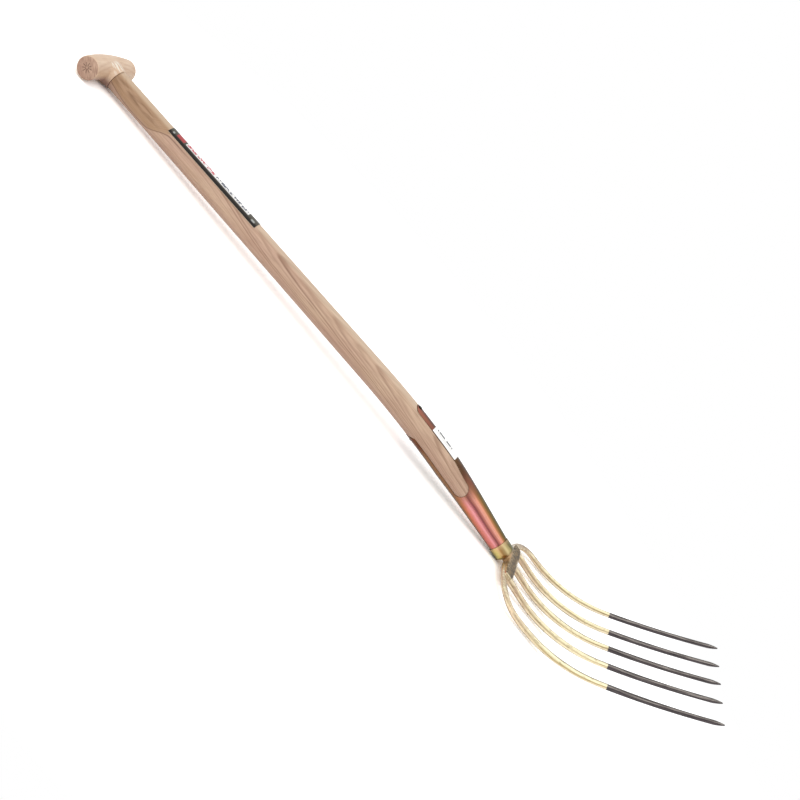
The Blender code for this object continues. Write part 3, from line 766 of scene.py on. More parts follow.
# the nails through the tips of the straps; the straps and the shaft need their holes
nail = {
    "headDiameter": 0.0066,
    "headHeight": 0.0007,
    "shankDiameter": 0.003,
    "length": 0.024,
    "pointLength": 0.005,
    "frontInset": 0.005,
    "backInset": 0.0095,
    "colour": (78, 70, 52),
    "darkColour": (44, 38, 28),
}

nailPlaces = [
    ("frontStrapNail", "strap_nail_front", frontTip + nail["frontInset"], 1),
    ("backStrapNail", "strap_nail_back", backTip + nail["backInset"], -1),
]


def standUp(piece, station, side):
    # turns a piece drawn along X to point out of the shaft, front or back
    makeActive(piece)
    piece.rotation_euler = (0, -side * math.pi / 2, 0)
    piece.location = (station, 0, side * socketRadius(station))
    applyPlace()
    return piece


def nailHole(station, side):
    radius = nail["shankDiameter"] / 2 + gap
    hole = drawRound("nailHole", 32, [(-nail["length"] - gap, radius), (0.006, radius)])
    return standUp(hole, station, side)


def makeSocket():
    tube = strappedShell("strappedSocket", 0, 0, 0)
    for *_, station, side in nailPlaces:
        cutAway(tube, nailHole(station, side))
    roundEdges(tube, socket["edgeRound"])
    dress(tube, "strapped_socket", chromateMaterial(), 35)


# chromate on zinc: its colour runs in bands round the tube, and is duller on the straps
# the bands are partly the chromate's own colour and partly painted reflections, dark lines and
# bright bands
chromate = {
    "roughness": 0.24,
    "waver": ((22, 50, 50), 14),
    "bands": [
        (-180, (98, 77, 43)), (-128, (171, 115, 86)), (-105, (196, 120, 110)),
        (-78, (143, 81, 81)), (-55, (226, 156, 140)), (-33, (156, 105, 75)),
        (-14, (60, 58, 32)), (6, (76, 70, 38)), (24, (114, 88, 50)), (36, (164, 112, 76)),
        (47, (222, 152, 128)), (57, (234, 162, 146)), (66, (188, 116, 106)), (75, (138, 76, 78)),
        (84, (164, 98, 100)), (94, (202, 134, 138)), (106, (194, 120, 112)),
        (120, (188, 116, 84)), (136, (154, 106, 70)), (150, (92, 74, 42)), (180, (98, 77, 43)),
    ],
    "strapBands": [
        (-180, (104, 82, 54)), (-150, (90, 68, 44)), (-132, (140, 102, 72)),
        (-116, (136, 98, 72)), (-32, (160, 104, 86)), (-20, (126, 80, 70)), (-8, (66, 32, 32)),
        (6, (96, 50, 44)), (18, (150, 90, 78)), (30, (156, 98, 84)), (116, (136, 98, 72)),
        (132, (142, 104, 74)), (150, (90, 68, 44)), (180, (104, 82, 54)),
    ],
    "lowLook": ((196, 114, 118), 0.6),
    "lowLength": 0.035,
    "dullLook": ((78, 56, 40), 0.45),
    "dullLength": 0.036,
    "darkStretchLook": ((78, 56, 40), 0.9),
    "darkStretchAlong": (0.062, 0.114),
    # painted shade on the back strap's tip
    "backTipShadeLook": ((100, 58, 40), 0.95),
    "tipLength": 0.032,
    "mottle": ((160, 260, 260), 2.6, -1.1, 4, 0.6),
    "mottleLook": ((150, 124, 66), 0.22),
    "rimLook": ((78, 70, 50), 1),
}


def strapColour(x, z, turn):
    body = bandsRound(turn, chromate["strapBands"])
    onFront = above(z, 0.002, 0.004)
    duller = mapped(x, frontTip, frontTip + chromate["dullLength"])
    body = coat(body, chromate["dullLook"], duller, onFront)
    # the front strap is darker again over a stretch from under the label towards the tube
    start, end = chromate["darkStretchAlong"]
    darkenedStretch = between(x, frontTip + start, frontTip + end, 0.014)
    body = coat(body, chromate["darkStretchLook"], darkenedStretch, onFront)
    # painted shade on the back side of the back strap's tip
    shadedBackTip = below(x, backTip + chromate["tipLength"], 0.012)
    return coat(body, chromate["backTipShadeLook"], shadedBackTip, below(z, -0.002, 0.004))


def chromateMaterial():
    material, shader = newMaterial("yellowChromate", chromate["roughness"], 1)
    place = straightPlace()
    x, y, z = splitUp(place)
    turn = turnRound(y, z, swayOf(place, *chromate["waver"]))
    body = bandsRound(turn, chromate["bands"])
    low = above(x, socketEnd - chromate["lowLength"], 0.025)
    behind = between(calc("ABSOLUTE", turn), 108, 140, 12)
    body = coat(body, chromate["lowLook"], low, behind)
    onStraps = below(x, socketEnd - socket["tubeLength"] + 0.004, 0.016)
    body = mixColour(onStraps, body, strapColour(x, z, turn))
    body = coat(body, chromate["mottleLook"], patchesOf(place, *chromate["mottle"]))
    # the cut edges of the steel are dark
    outward = {0: joinUp(0, y, z)}
    outward = addNode("ShaderNodeVectorMath", outward, operation="NORMALIZE").outputs[0]
    both = {0: straightPlace("facing"), 1: outward}
    square = addNode("ShaderNodeVectorMath", both, operation="DOT_PRODUCT").outputs["Value"]
    onRim = below(calc("ABSOLUTE", square), 0.72, 0.15)
    body = coat(body, chromate["rimLook"], onRim, below(x, socketEnd - 0.002, 0.0005))
    grit = noiseOf(place, (300, 1200, 1200))
    finish(shader, body, grit, (0.12, chromate["roughness"] - 0.06), (0.06, 0.0002))
    return material


makeSocket()


# Shaft

shaft = {
    "shoulderChamfer": 0.0008,
    "wood": {
        "baseColour": (200, 171, 144),
        "cloudColour": (188, 154, 132),
        "layerLook": ((132, 97, 74), 1),
        "streakLook": ((158, 123, 100), 0.6),
        "poreLook": ((121, 88, 68), 0.75),
        "cloud": ((9, 40, 40), 3, -1),
        "streaks": ((20, 460, 460), 3.6, -1.4, 4, 0.65),
        "pores": ((36, 900, 900), 7, -4, 2),
        "layerWidth": 0.0024,
        # the layers dip under the grip end and then slope away from the front
        "layerHeights": [
            (0, 0.006), (0.018, 0.0027), (0.039, -0.0025), (0.061, -0.0059), (0.08, -0.0057),
            (0.097, -0.0007), (0.104, 0.0037), (0.115, 0.0095), (0.124, 0.0116), (0.14, 0.012),
            (0.3, 0.006), (0.43, 0.001), (0.56, -0.006), (0.7, -0.014), (0.85, -0.024),
        ],
        "twist": (0.17, 0.33, math.radians(30)),
        "pith": (0.012, 0.085),
        "drift": ((9, 30, 30), 0.0024),
        "roughness": 0.5,
    },
    # painted light on the front, which lies uppermost
    "litFrontLook": ((214, 193, 167), 0.5),
    "litFrontAngles": (-60, 34),
    "pinkLook": ((190, 154, 137), 0.4),
    "pinkFrom": 118,
    "brownLook": ((158, 124, 90), 0.78),
    "brownEnd": 0.119,
    "brownDepth": 0.06,
    "smudges": ((42, 200, 200), 5, -2),
    "smudgeLook": ((126, 92, 62), 0.95),
    "smudgeAngles": (48, 82),
    "smudgeAlong": (0.022, 0.1),
    "lineLook": ((105, 72, 53), 0.76),
    "lineWidth": 0.0012,
    "lineEnd": 0.15,
}


def shaftRadius(station):
    if station >= frontTip:
        return socketRadius(station) - socket["strapProud"]
    share = (station - shoulder) / (frontTip - shoulder)
    top = tGrip["shaftTopDiameter"]
    return (top + (socket["shaftDiameter"] - top) * share) / 2


# Collar at the foot of the socket, with the neck of the head through it

collar = {
    "proud": 0.0007,
    "length": 0.019,
    "floor": 0.0032,
    "flatWidth": 0.0005,
    "edgeRound": 0.0003,
    "neckDiameter": 0.015,
    "waver": ((50, 80, 80), 16),
    # the bands are partly the chromate's own colour and partly painted reflections
    "bands": [
        (-180, (103, 100, 66)), (-135, (141, 139, 90)), (-110, (184, 171, 111)),
        (-82, (150, 120, 79)), (-57, (201, 188, 133)), (-28, (137, 130, 96)),
        (-12, (98, 102, 79)), (4, (109, 109, 83)), (24, (113, 105, 73)), (40, (165, 150, 105)),
        (56, (209, 190, 141)), (70, (165, 137, 92)), (82, (150, 115, 71)), (94, (187, 159, 111)),
        (108, (195, 179, 114)), (122, (186, 173, 111)), (136, (148, 138, 93)),
        (150, (103, 96, 62)), (165, (85, 81, 51)), (180, (103, 100, 66)),
    ],
    "topLook": ((203, 165, 132), 0.3),
    "topBand": 0.004,
    "footLook": ((141, 105, 55), 0.6),
    "footBand": 0.0025,
}

collarTop = socketEnd + gap
collarBottom = collarTop + collar["length"]
collarRadius = socket["endDiameter"] / 2 + collar["proud"]
collarBore = socket["endDiameter"] / 2 - socket["wall"]
neckHole = collar["neckDiameter"] / 2 + gap

# the forged head, which comes further down; the shaft and the collar need its tang and neck
forkHead = {
    "neckLength": 0.0008,
    "neckFlare": 0.001,
    "neckFootWidth": 0.03,
    "tangLength": 0.095,
    "tangRootWidth": 0.011,
    "tangPointWidth": 0.005,
    "webHeight": 0.0145,
    "webThickness": 0.0114,
    "webMargin": 0.006,
    "webEdgeRound": 0.0014,
    "webEndThinning": 0.0012,
    "shoulderDrop": 0.043,
    "shoulderReach": 0.082,
    "outerOffset": 0.1035,
    "innerOffset": 0.0472,
    "outerSplay": 0.0065,
    "innerSplay": 0.0056,
    "barFlatness": 0.7,
    "barFlatLength": 0.075,
    "rootDiameter": 0.0098,
    "endDiameter": 0.0063,
    "rootFlare": 0.0008,
    "flareLength": 0.014,
    "pointLength": 0.015,
    "pointDiameter": 0.0016,
    "pointFullness": 0.65,
    "grain": 0.00082,
    "dippedFrom": 1.0108,
    "dipSlant": 0.033,
}

barStation = collarBottom + forkHead["neckLength"] + forkHead["rootDiameter"] / 2
webBottom = barStation + forkHead["webHeight"]


def tangShape(name, grow):
    foot = collarBottom - collar["floor"]
    point = foot - forkHead["tangLength"] - grow
    tip = forkHead["tangPointWidth"]
    rows = [
        (foot + collar["floor"] / 2, forkHead["tangRootWidth"]),
        (foot, forkHead["tangRootWidth"]),
        (point, tip),
        (point - tip, tip / 3),
    ]
    return drawAlong(name, 4, [(x, wide / 2 + grow, wide / 2 + grow) for x, wide in rows])


def shaftMaterial():
    material, shader, body, layer = woodMaterial("ashWood", shaft["wood"], straightPlace)
    place = straightPlace()
    x, y, z = splitUp(place)
    turn = turnRound(y, z)
    # one strong growth line dips under the grip end, with browner wood in front of it
    brown = between(layer, 0, shaft["brownDepth"], 0.003)
    brown = allOf(brown, below(x, shaft["brownEnd"], 0.004))
    body = coat(body, shaft["brownLook"], brown)
    smudges = allOf(brown, patchesOf(place, *shaft["smudges"]))
    smudges = allOf(smudges, between(turn, *shaft["smudgeAngles"], 12))
    body = coat(body, shaft["smudgeLook"], smudges, between(x, *shaft["smudgeAlong"], 0.01))
    # painted light: the front, which lies uppermost, is lighter and creamy, and the back a little
    # pink
    body = coat(body, shaft["litFrontLook"], between(turn, *shaft["litFrontAngles"], 12))
    body = coat(body, shaft["pinkLook"], above(calc("ABSOLUTE", turn), shaft["pinkFrom"], 22))
    half = shaft["lineWidth"] / 2
    onLine = between(layer, -half, half, half)
    body = coat(body, shaft["lineLook"], onLine, below(x, shaft["lineEnd"], 0.02))
    feed(shader, {"Base Color": body})
    return material


def makeShaft():
    start = shoulder + gap
    tenon = tGrip["tenonDiameter"] / 2
    afterChamfer = start + shaft["shoulderChamfer"]
    lastFree = socketEnd - 2 * gap
    foot = collarBore - gap
    rows = [
        (-tGrip["crown"] - tGrip["middleDiameter"] / 2 - margin, tenon),
        (start, tenon),
        (start + step, shaftRadius(start) - shaft["shoulderChamfer"]),
    ]
    stations = evenSteps(afterChamfer, forkLine["gripToBend"], 16)[:-1]
    stations += evenSteps(forkLine["gripToBend"], lastFree, 56)
    rows += [(x, shaftRadius(x)) for x in stations]
    rows += [(lastFree + step, foot), (collarBottom - collar["floor"] - gap, foot)]
    wood = drawRound("bentAshShaft", 72, rows)
    trimAtGrip(wood)
    cutAway(wood, wedgeShape("kerf", gap))
    cutAway(wood, strappedShell("socketRoom", gap, 0.006, gap))
    cutAway(wood, tangShape("tangBore", gap))
    for *_, station, side in nailPlaces:
        cutAway(wood, nailHole(station, side))
    dress(wood, "shaft", shaftMaterial())


makeShaft()


def makeNails():
    material, shader = newMaterial("darkNailSteel", 0.45, 1)
    mottle = noiseOf(straightPlace(), (900, 900, 900), 3)
    body = mixColour(mottle, nail["darkColour"], nail["colour"])
    feed(shader, {"Base Color": body, "Normal": bumpOf(mottle, 0.3, 0.0002)})
    head = nail["headDiameter"] / 2
    shank = nail["shankDiameter"] / 2
    point = gap - nail["length"]
    rows = [(point, 0.00005), (point + nail["pointLength"], shank)]
    rows += [(gap - step, shank), (gap, head)]
    for turn in (12, 25, 38, 51, 64, 77):
        angle = math.radians(turn)
        rows.append((gap + nail["headHeight"] * math.sin(angle), head * math.cos(angle)))
    rows.append((gap + nail["headHeight"], 0.0002))
    for name, node, station, side in nailPlaces:
        piece = standUp(drawRound(name, 32, rows), station, side)
        dress(piece, node, material, 50)


makeNails()


def collarMaterial():
    material, shader = newMaterial("greenChromate", 0.3, 1)
    place = straightPlace()
    x, y, z = splitUp(place)
    turn = turnRound(y, z, swayOf(place, *collar["waver"]))
    body = bandsRound(turn, collar["bands"])
    body = coat(body, collar["topLook"], below(x, collarTop + collar["topBand"], 0.003))
    foot = above(x, collarBottom - collar["footBand"], 0.003)
    body = coat(body, collar["footLook"], foot)
    grit = noiseOf(place, (900, 900, 900))
    finish(shader, body, grit, (0.12, 0.24), (0.08, 0.0002))
    return material


def makeCollar():
    corner = collarRadius - neckHole - collar["flatWidth"]
    rows = [(collarTop, collarRadius)]
    for angle in evenSteps(0, math.pi / 2, 16):
        inset = corner * (1 - math.cos(angle))
        rows.append((collarBottom - corner + corner * math.sin(angle), collarRadius - inset))
    cup = drawRound("socketCollar", 96, rows)
    inside = [(collarTop - 0.01, collarBore), (collarBottom - collar["floor"], collarBore)]
    cutAway(cup, drawRound("collarBore", 96, inside))
    hole = [(collarTop, neckHole), (collarBottom + 0.01, neckHole)]
    cutAway(cup, drawRound("neckHole", 64, hole))
    roundEdges(cup, collar["edgeRound"], angle=60)
    dress(cup, "socket_collar", collarMaterial(), 50)


makeCollar()


# Forged head: bar and outer tines in one bow, a web, three inner tines, neck and tang

def tineRadius(station):
    pointStart = tineEnd - forkHead["pointLength"]
    thick = forkHead["endDiameter"] / 2
    if station > pointStart:
        share = (station - pointStart) / forkHead["pointLength"]
        narrowing = share * (1 - forkHead["pointFullness"] + forkHead["pointFullness"] * share)
        return thick + (forkHead["pointDiameter"] / 2 - thick) * narrowing
    share = clamped((station - webBottom) / (pointStart - webBottom))
    return forkHead["rootDiameter"] / 2 + (thick - forkHead["rootDiameter"] / 2) * share


def tineRows(start):
    pointStart = tineEnd - forkHead["pointLength"]
    rows = evenSteps(start, sweepStart, 16) + evenSteps(sweepStart, pointStart, 8)[1:]
    return rows + evenSteps(pointStart, tineEnd, 8)[1:]


def tineOffset(rootOffset, splay, start, station):
    return rootOffset + splay * math.sin((station - start) / (tineEnd - start) * math.pi / 2)


def barPlace(turn):
    station = barStation + forkHead["shoulderDrop"] * (1 - math.cos(turn))
    return station, forkHead["outerOffset"] + forkHead["shoulderReach"] * (math.sin(turn) - 1)


def bowSections():
    # from the far point up, over the bar and down to the near point
    def section(station, offset, heading):
        radius = tineRadius(station)
        flat = forkHead["barFlatness"]
        flat += (1 - flat) * smoothStep((station - barStation) / forkHead["barFlatLength"])
        return (station, offset, radius * (flat - 1)), heading, radius, radius * flat

    side = []
    for turn in evenSteps(0, math.pi / 2, 20):
        station, offset = barPlace(turn)
        rise = forkHead["shoulderDrop"] * math.sin(turn)
        run = forkHead["shoulderReach"] * math.cos(turn)
        side.append((station, offset, math.atan2(rise, run)))
    start = barStation + forkHead["shoulderDrop"]
    for station in tineRows(start)[1:]:
        offset = tineOffset(forkHead["outerOffset"], forkHead["outerSplay"], start, station)
        side.append((station, offset, math.pi / 2))
    rows = [section(x, y, math.pi * 1.5 - steep) for x, y, steep in reversed(side)]
    rows += [section(barStation, 0, math.pi * 1.5)]
    rows += [section(x, -y, math.pi * 1.5 + steep) for x, y, steep in side]
    return rows


def webShape():
    halfLength = forkHead["innerOffset"] + forkHead["webMargin"]
    sections = []
    for share, runOut in (
        (-1, 1), (-0.96, 0.5), (-0.9, 0.2), (-0.82, 0), (-0.4, 0),
        (0.4, 0), (0.82, 0), (0.9, 0.2), (0.96, 0.5), (1, 1),
    ):
        offset = halfLength * share
        reach = 1 + (abs(offset) - forkHead["outerOffset"]) / forkHead["shoulderReach"]
        top = barPlace(math.asin(clamped(reach)))[0] - forkHead["rootDiameter"] / 4
        bottom = webBottom - forkHead["rootDiameter"] / 2 * runOut
        depth = (forkHead["webThickness"] - forkHead["webEndThinning"] * runOut) / 2
        sections.append((((top + bottom) / 2, offset, 0), math.pi / 2, (bottom - top) / 2, depth))
    return drawOut("web", 4, sections)


def innerTine(offset, splay):
    start = (barStation + webBottom) / 2
    stations = [start] + evenSteps(webBottom, webBottom + forkHead["flareLength"], 6)
    stations += tineRows(stations[-1])[1:]
    sections = []
    for x in stations:
        radius = tineRadius(x)
        flare = forkHead["rootFlare"] * (1 - smoothStep((x - webBottom) / forkHead["flareLength"]))
        centre = (x, tineOffset(offset, splay, start, x), 0)
        sections.append((centre, 0, radius + flare, radius))
    return drawOut("innerTine", 32, sections)


def neckShape():
    neck = collar["neckDiameter"] / 2
    foot = forkHead["neckFootWidth"] / 2
    footDepth = forkHead["webThickness"] / 2 - gap
    high = collarBottom + forkHead["neckLength"]
    low = barStation + forkHead["rootDiameter"] / 4
    rows = [
        (collarBottom - collar["floor"], neck, neck),
        (collarBottom, neck, neck),
        (high, neck + forkHead["neckFlare"], neck),
        ((high + low) / 2, (neck + foot) / 2, (neck + footDepth) / 2),
        (low, foot, footDepth),
    ]
    return drawAlong("neck", 48, rows)


lacquer = {
    "roughness": 0.28,
    "metallic": 0.85,
    "sway": ((11, 30, 4), 80),
    # colours round a tine: the gold lacquer with painted reflections, a bright highlight band, a
    # dark line in it and dark edges
    "bands": [
        (-180, (186, 170, 136)), (-120, (214, 194, 160)), (-84, (160, 140, 104)),
        (-50, (236, 226, 190)), (-18, (62, 56, 40)), (-8, (116, 108, 82)), (6, (204, 194, 160)),
        (18, (244, 236, 202)), (30, (248, 240, 206)), (50, (240, 228, 188)),
        (64, (206, 190, 146)), (76, (154, 134, 92)), (86, (190, 172, 136)),
        (104, (220, 206, 180)), (126, (204, 190, 164)), (142, (138, 126, 100)),
        (156, (72, 66, 50)), (180, (186, 170, 136)),
    ],
    "plain": ((9, 24, 4), 4, -1.7, 2),
    "plainLook": ((236, 224, 188), 0.6),
    "plainAngles": (10, 125),
    "blotches": ((90, 240, 240), 2.4, -0.6),
    "rootLook": ((192, 167, 141), 1),
    "rootLength": 0.025,
    "specks": ((170, 420, 420), 7, -3.8),
    "speckLook": ((123, 104, 71), 0.4),
    # painted dark reflection on the web's flat front
    "webMottle": ((190, 120, 1), 5, -2, 5, 0.75),
    "webColour": (124, 99, 56),
    "webDarkColour": (50, 38, 16),
    "webFront": 0.0042,
    # painted highlights: pale ragged lines on the web next to the bar
    "highlightLineSpacing": (200, 150, 1),
    "highlightLineHeight": 0.004,
    "highlightLineLook": ((204, 184, 148), 0.7),
    "neckLook": ((190, 154, 110), 1),
    "neckHalfWidth": 0.018,
    "dipStreaks": ((26, 900, 900), 150, 4, 0.65),
    "dipBands": [
        (-180, (70, 62, 62)), (-90, (40, 34, 36)), (-18, (22, 18, 20)), (4, (38, 33, 33)),
        (26, (84, 78, 74)), (46, (156, 148, 142)), (62, (88, 80, 78)), (78, (34, 29, 31)),
        (96, (74, 62, 66)), (116, (58, 49, 51)), (138, (20, 17, 18)), (180, (70, 62, 62)),
    ],
}


def lacquerColour(place, x, turn):
    body = bandsRound(turn, lacquer["bands"])
    plain = patchesOf(place, *lacquer["plain"])
    body = coat(body, lacquer["plainLook"], plain, between(turn, *lacquer["plainAngles"], 12))
    nearRoot = below(x, heelStart + lacquer["rootLength"], 0.04)
    body = coat(body, lacquer["rootLook"], nearRoot, patchesOf(place, *lacquer["blotches"]))
    return coat(body, lacquer["speckLook"], patchesOf(place, *lacquer["specks"]))


def darkWebReflection(place, x, y, z):
    # where the flat front of the web is, and the painted dark reflection that it has there
    mottle = patchesOf(place, *lacquer["webMottle"])
    # the painted reflection reaches less far where a tine starts, and its edge is ragged
    wave = calc("COSINE", calc("MULTIPLY", y, 2 * math.pi / forkHead["innerOffset"]))
    edge = calc("ADD", x, scaled(mottle, 0.0024, scaled(wave, 0.0011, -0.0002)))
    halfWeb = forkHead["innerOffset"] + forkHead["webMargin"] - 0.002
    onWeb = allOf(
        between(edge, barStation - 0.004, webBottom - 0.0006, 0.0008),
        below(calc("ABSOLUTE", y), halfWeb, 0.002), above(z, lacquer["webFront"], 0.0008),
    )
    body = mixColour(mottle, lacquer["webDarkColour"], lacquer["webColour"])
    # painted highlights: pale ragged lines on the web next to the bar
    cells = {"Vector": stretch(place, lacquer["highlightLineSpacing"]), "Scale": 1}
    cells = addNode("ShaderNodeTexVoronoi", cells, feature="DISTANCE_TO_EDGE")
    highlightLines = below(cells.outputs["Distance"], 0.03, 0.05)
    highlightLineReach = below(x, barStation + lacquer["highlightLineHeight"], 0.003)
    return onWeb, coat(body, lacquer["highlightLineLook"], highlightLines, highlightLineReach)


def headMaterial():
    material, shader = newMaterial("goldLacquer", lacquer["roughness"], lacquer["metallic"])
    place = straightPlace()
    x, y, z = splitUp(place)
    _, facingY, facingZ = splitUp(straightPlace("facing"))
    turn = turnRound(facingY, facingZ, swayOf(place, *lacquer["sway"]))
    onWeb, webReflectionColour = darkWebReflection(place, x, y, z)
    body = mixColour(onWeb, lacquerColour(place, x, turn), webReflectionColour)
    onNeck = below(calc("ABSOLUTE", y), lacquer["neckHalfWidth"], 0.004)
    onNeck = allOf(onNeck, below(x, barStation - 0.001, 0.003))
    body = coat(body, lacquer["neckLook"], onNeck)
    # the points are dipped dark, and their coat is streaky, with a painted highlight band and
    # darker painted edges round each point
    turn = turnRound(facingY, facingZ, swayOf(place, *lacquer["dipStreaks"]))
    dip = bandsRound(turn, lacquer["dipBands"])
    ragged = swayOf(place, (0, 500, 500), 0.0016)
    level = calc("ADD", ragged, scaled(y, forkHead["dipSlant"], x))
    dipped = above(level, forkHead["dippedFrom"], 0.0003)
    # lacquer shines, and dip, web and neck are duller
    dull = calc("MAXIMUM", dipped, onWeb)
    feed(shader, {
        "Base Color": mixColour(dipped, body, dip),
        "Roughness": scaled(dull, 0.22, lacquer["roughness"]),
        "Metallic": scaled(calc("MAXIMUM", dull, onNeck), -0.6, lacquer["metallic"]),
        "Normal": bumpOf(noiseOf(place, (260, 900, 900), 3), 0.12, 0.0004),
    })
    return material


def makeHead():
    head = drawOut("forgedHead", 32, bowSections())
    web = webShape()
    roundEdges(web, forkHead["webEdgeRound"], 3, 30)
    parts = [web, neckShape(), tangShape("tang", 0)]
    inner, splay = forkHead["innerOffset"], forkHead["innerSplay"]
    for offset, out in ((-inner, -splay), (0, 0), (inner, splay)):
        parts.append(innerTine(offset, out))
    joinInto(head, parts)
    forgeTogether(head, forkHead["grain"], 4)
    dress(head, "fork_head", headMaterial(), 60)


makeHead()


# Sticker and label: thin sheets laid round what they stick to

sticker = {
    "start": 0.114,
    "length": 0.166,
    "halfAngle": math.radians(48),
    "thickness": 0.00025,
    "filmColour": (26, 22, 18),
    "sheenLook": ((84, 80, 70), 0.8),
    "edgeLook": ((206, 186, 162), 1),
    "panelLook": ((236, 234, 232), 1),
    "redColour": (178, 62, 66),
    "pinkColour": (206, 112, 122),
    "greyLook": ((96, 100, 112), 1),
    "paleLook": ((176, 178, 174), 0.75),
    # where things stand along the film, and the share of its width that the panel takes
    "redBlock": (0.011, 0.0245),
    "panel": (0.0275, 0.148),
    "warmRows": (0.029, 0.08),
    "greyRows": (0.084, 0.146),
    "firstMark": (0.0045, 0.0075),
    "lastMark": (0.155, 0.161),
    "markAcross": (0.42, 0.66),
    "panelShare": 0.47,
    "columnsPerMetre": 480,
    "rows": 6,
}

label = {
    "length": 0.048,
    "endHeight": 0.127,
    "halfAngle": math.radians(32.5),
    "thickness": 0.00025,
    "paperColour": (246, 245, 243),
    "barLook": ((70, 76, 76), 0.9),
    "barsPerMetre": 560,
    "barAcross": (-0.22, 0.4),
    "ruleLook": ((168, 166, 164), 0.7),
    "ruleAcross": [(-0.34, -0.28), (-0.62, -0.56)],
}


def wrapSheet(name, sheet, start, surface):
    # flat place (along, across as a share of the half angle) is kept for the pattern
    deselectAll()
    length = sheet["length"]
    steps = max(int(length / 0.003), 8)
    bpy.ops.mesh.primitive_grid_add(x_subdivisions=steps, y_subdivisions=28, size=2)
    piece = bpy.context.object
    piece.name = name
    applyModifier(piece, "SOLIDIFY", thickness=1, offset=1)
    heights = [vertex.co.z for vertex in piece.data.vertices]
    middle = (min(heights) + max(heights)) / 2
    pattern = piece.data.attributes.new("flat", "FLOAT_VECTOR", "POINT")
    for vertex, mark in zip(piece.data.vertices, pattern.data):
        along = length * (vertex.co.x + 1) / 2
        across = vertex.co.y
        rise = sheet["thickness"] if vertex.co.z > middle else 0
        radius = surface(start + along) + gap + rise
        angle = across * sheet["halfAngle"]
        mark.vector = (along, across, 0)
        vertex.co = (start + along, radius * math.sin(angle), radius * math.cos(angle))
    makeActive(piece)
    pointOutwards()
    return piece


def makeSticker():
    film = wrapSheet("shaftSticker", sticker, sticker["start"], shaftRadius)
    material, shader = newMaterial("printedFilm", 0.32)
    shader.inputs["Specular IOR Level"].default_value = 0.25
    along, across, _ = splitUp(straightPlace("flat"))
    off = calc("ABSOLUTE", across)
    body = coat(sticker["filmColour"], sticker["sheenLook"], below(off, 0.6, 0.14))

    def onPart(part):
        return between(along, *sticker[part], 0.0005)

    # a pale panel with rows of plain blocks stands for the print
    share = sticker["panelShare"]
    body = coat(body, sticker["panelLook"], onPart("panel"), below(off, share, 0.02))
    column = calc("FLOOR", calc("MULTIPLY", along, sticker["columnsPerMetre"]))
    row = calc("FLOOR", calc("MULTIPLY", across, sticker["rows"]))
    cell = {"Vector": joinUp(column, row, 0)}
    chance = addNode("ShaderNodeTexWhiteNoise", cell, noise_dimensions="2D").outputs
    blocks = above(chance["Value"], 0.48, 0.02)
    blocks = allOf(blocks, below(off, share - 0.09, 0.02))
    warm = above(splitUp(chance["Color"])[1], 0.5, 0.05)
    warm = mixColour(warm, sticker["pinkColour"], sticker["redColour"])
    body = coat(body, (warm, 1), blocks, onPart("warmRows"))
    body = coat(body, sticker["greyLook"], blocks, onPart("greyRows"))
    onRed = allOf(onPart("redBlock"), below(off, share + 0.08, 0.02))
    body = coat(body, (sticker["redColour"], 0.85), onRed)
    marks = calc("ADD", onPart("firstMark"), between(along, *sticker["lastMark"], 0.001))
    body = coat(body, sticker["paleLook"], marks, between(off, *sticker["markAcross"], 0.04))
    body = coat(body, sticker["edgeLook"], above(off, 0.972, 0.01))
    flat = joinUp(along, calc("MULTIPLY", across, 0.015), 0)
    scuffs = noiseOf(flat, (120, 900, 1), 4)
    finish(shader, body, scuffs, (0.2, 0.22), (0.05, 0.0002))
    dress(film, "shaft_sticker", material)


def makeLabel():
    length = label["length"]
    paper = wrapSheet("strapLabel", label, socketEnd - label["endHeight"] - length, socketRadius)
    material, shader = newMaterial("whitePaper", 0.62)
    along, across, _ = splitUp(straightPlace("flat"))
    # a row of plain bars and two faint rules
    bars = above(chanceOf(calc("MULTIPLY", along, label["barsPerMetre"])), 0.4, 0.01)
    bars = allOf(bars, between(along, 0.005, length - 0.008, 0.0003))
    barRow = between(across, *label["barAcross"], 0.02)
    body = coat(label["paperColour"], label["barLook"], bars, barRow)
    rules = [between(across, *limits, 0.02) for limits in label["ruleAcross"]]
    ruled = between(along, 0.006, length - 0.012, 0.0005)
    body = coat(body, label["ruleLook"], calc("MAXIMUM", *rules), ruled)
    fibre = noiseOf(straightPlace(), (1500, 1500, 1500))
    finish(shader, body, fibre, (0.15, 0.55), (0.08, 0.0001))
    dress(paper, "strap_label", material)


makeSticker()
makeLabel()


# Room, light and camera

studio = {
    "worldStrength": 0.92,
    "floorSize": 60,
    "floorColour": 0.8,
    "floorGain": 1.45,
    "clearRadius": 0.9,
    "keyPower": 6,
    "keySize": 2.6,
    "keyPlace": (0.5, 0.2, 1.8),
    "fillPower": 15,
    "fillSize": 2,
    "fillPlace": (-1, -1.8, 1),
    "lens": 54,
    "cameraPlace": (-0.05385, -1.49553, 0.52249),
    "cameraTurn": (62.616, -47.9417, 18.2692),
}


def seenDirectly():
    path = addNode("ShaderNodeLightPath").outputs
    seen = calc("MAXIMUM", path["Is Camera Ray"], path["Is Glossy Ray"])
    return calc("MAXIMUM", seen, path["Is Transmission Ray"])


def makeWorld():
    world = bpy.data.worlds.new("paleRoom")
    bpy.context.scene.world = world
    world.use_nodes = True
    current["tree"] = world.node_tree
    strength = mapped(seenDirectly(), 0, 1, studio["worldStrength"], 1)
    white = (1, 1, 1, 1)
    feed(world.node_tree.nodes["Background"], {"Color": white, "Strength": strength})


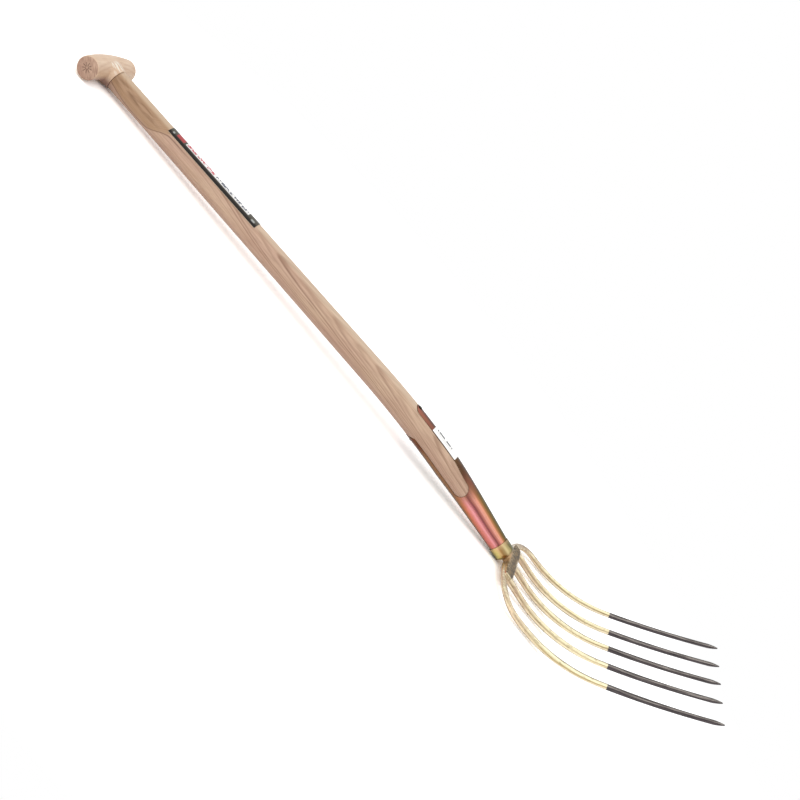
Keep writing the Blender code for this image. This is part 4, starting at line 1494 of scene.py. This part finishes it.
def makeFloor():
    deselectAll()
    bpy.ops.mesh.primitive_plane_add(size=studio["floorSize"], location=(0, 0, -0.0003))
    floor = bpy.context.object
    floor.name = "floor"
    floor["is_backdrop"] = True
    material, shader = newMaterial("paleFloor", 1)
    material.node_tree.nodes.remove(shader)

    def surfaceOf(kind, level):
        return addNode(kind, {"Color": (level, level, level, 1)}).outputs[0]

    # light meets a pale floor; the camera sees it brighter, and plain white far out
    plain = surfaceOf("ShaderNodeBsdfDiffuse", studio["floorColour"])
    bright = surfaceOf("ShaderNodeBsdfDiffuse", studio["floorGain"])
    white = surfaceOf("ShaderNodeEmission", 1)
    far = lengthOf(addNode("ShaderNodeTexCoord").outputs["Object"])
    far = mapped(far, studio["clearRadius"] * 0.75, studio["clearRadius"], 0, 1, "SMOOTHSTEP")
    seen = addNode("ShaderNodeMixShader", {0: far, 1: bright, 2: white}).outputs[0]
    surface = addNode("ShaderNodeMixShader", {0: seenDirectly(), 1: plain, 2: seen}).outputs[0]
    feed(material.node_tree.nodes["Material Output"], {"Surface": surface})
    floor.data.materials.append(material)


def addLamp(name, place, size, power):
    bpy.ops.object.light_add(type="AREA", location=place)
    lamp = bpy.context.object
    lamp.name = name
    lamp.data.shape = "SQUARE"
    lamp.data.size = size
    lamp.data.energy = power
    lamp.rotation_euler = (-Vector(place)).to_track_quat("-Z", "Y").to_euler()


def makeStudio():
    makeWorld()
    makeFloor()
    addLamp("keyLamp", studio["keyPlace"], studio["keySize"], studio["keyPower"])
    addLamp("fillLamp", studio["fillPlace"], studio["fillSize"], studio["fillPower"])
    turn = [math.radians(angle) for angle in studio["cameraTurn"]]
    bpy.ops.object.camera_add(location=studio["cameraPlace"], rotation=turn)
    camera = bpy.context.object
    camera.name = "camera"
    camera.data.lens = studio["lens"]
    camera.data.sensor_width = 36
    camera.data.clip_start = 0.05
    camera.data.clip_end = 100
    scene = bpy.context.scene
    scene.camera = camera
    scene.view_settings.view_transform = "Standard"
    print("room, lamps and camera set")


makeStudio()

shownLow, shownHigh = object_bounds()
for name, low, high in (("cad box", cadLow, cadHigh), ("shown", shownLow, shownHigh)):
    print(name, [round(b - a, 4) for a, b in zip(low, high)])
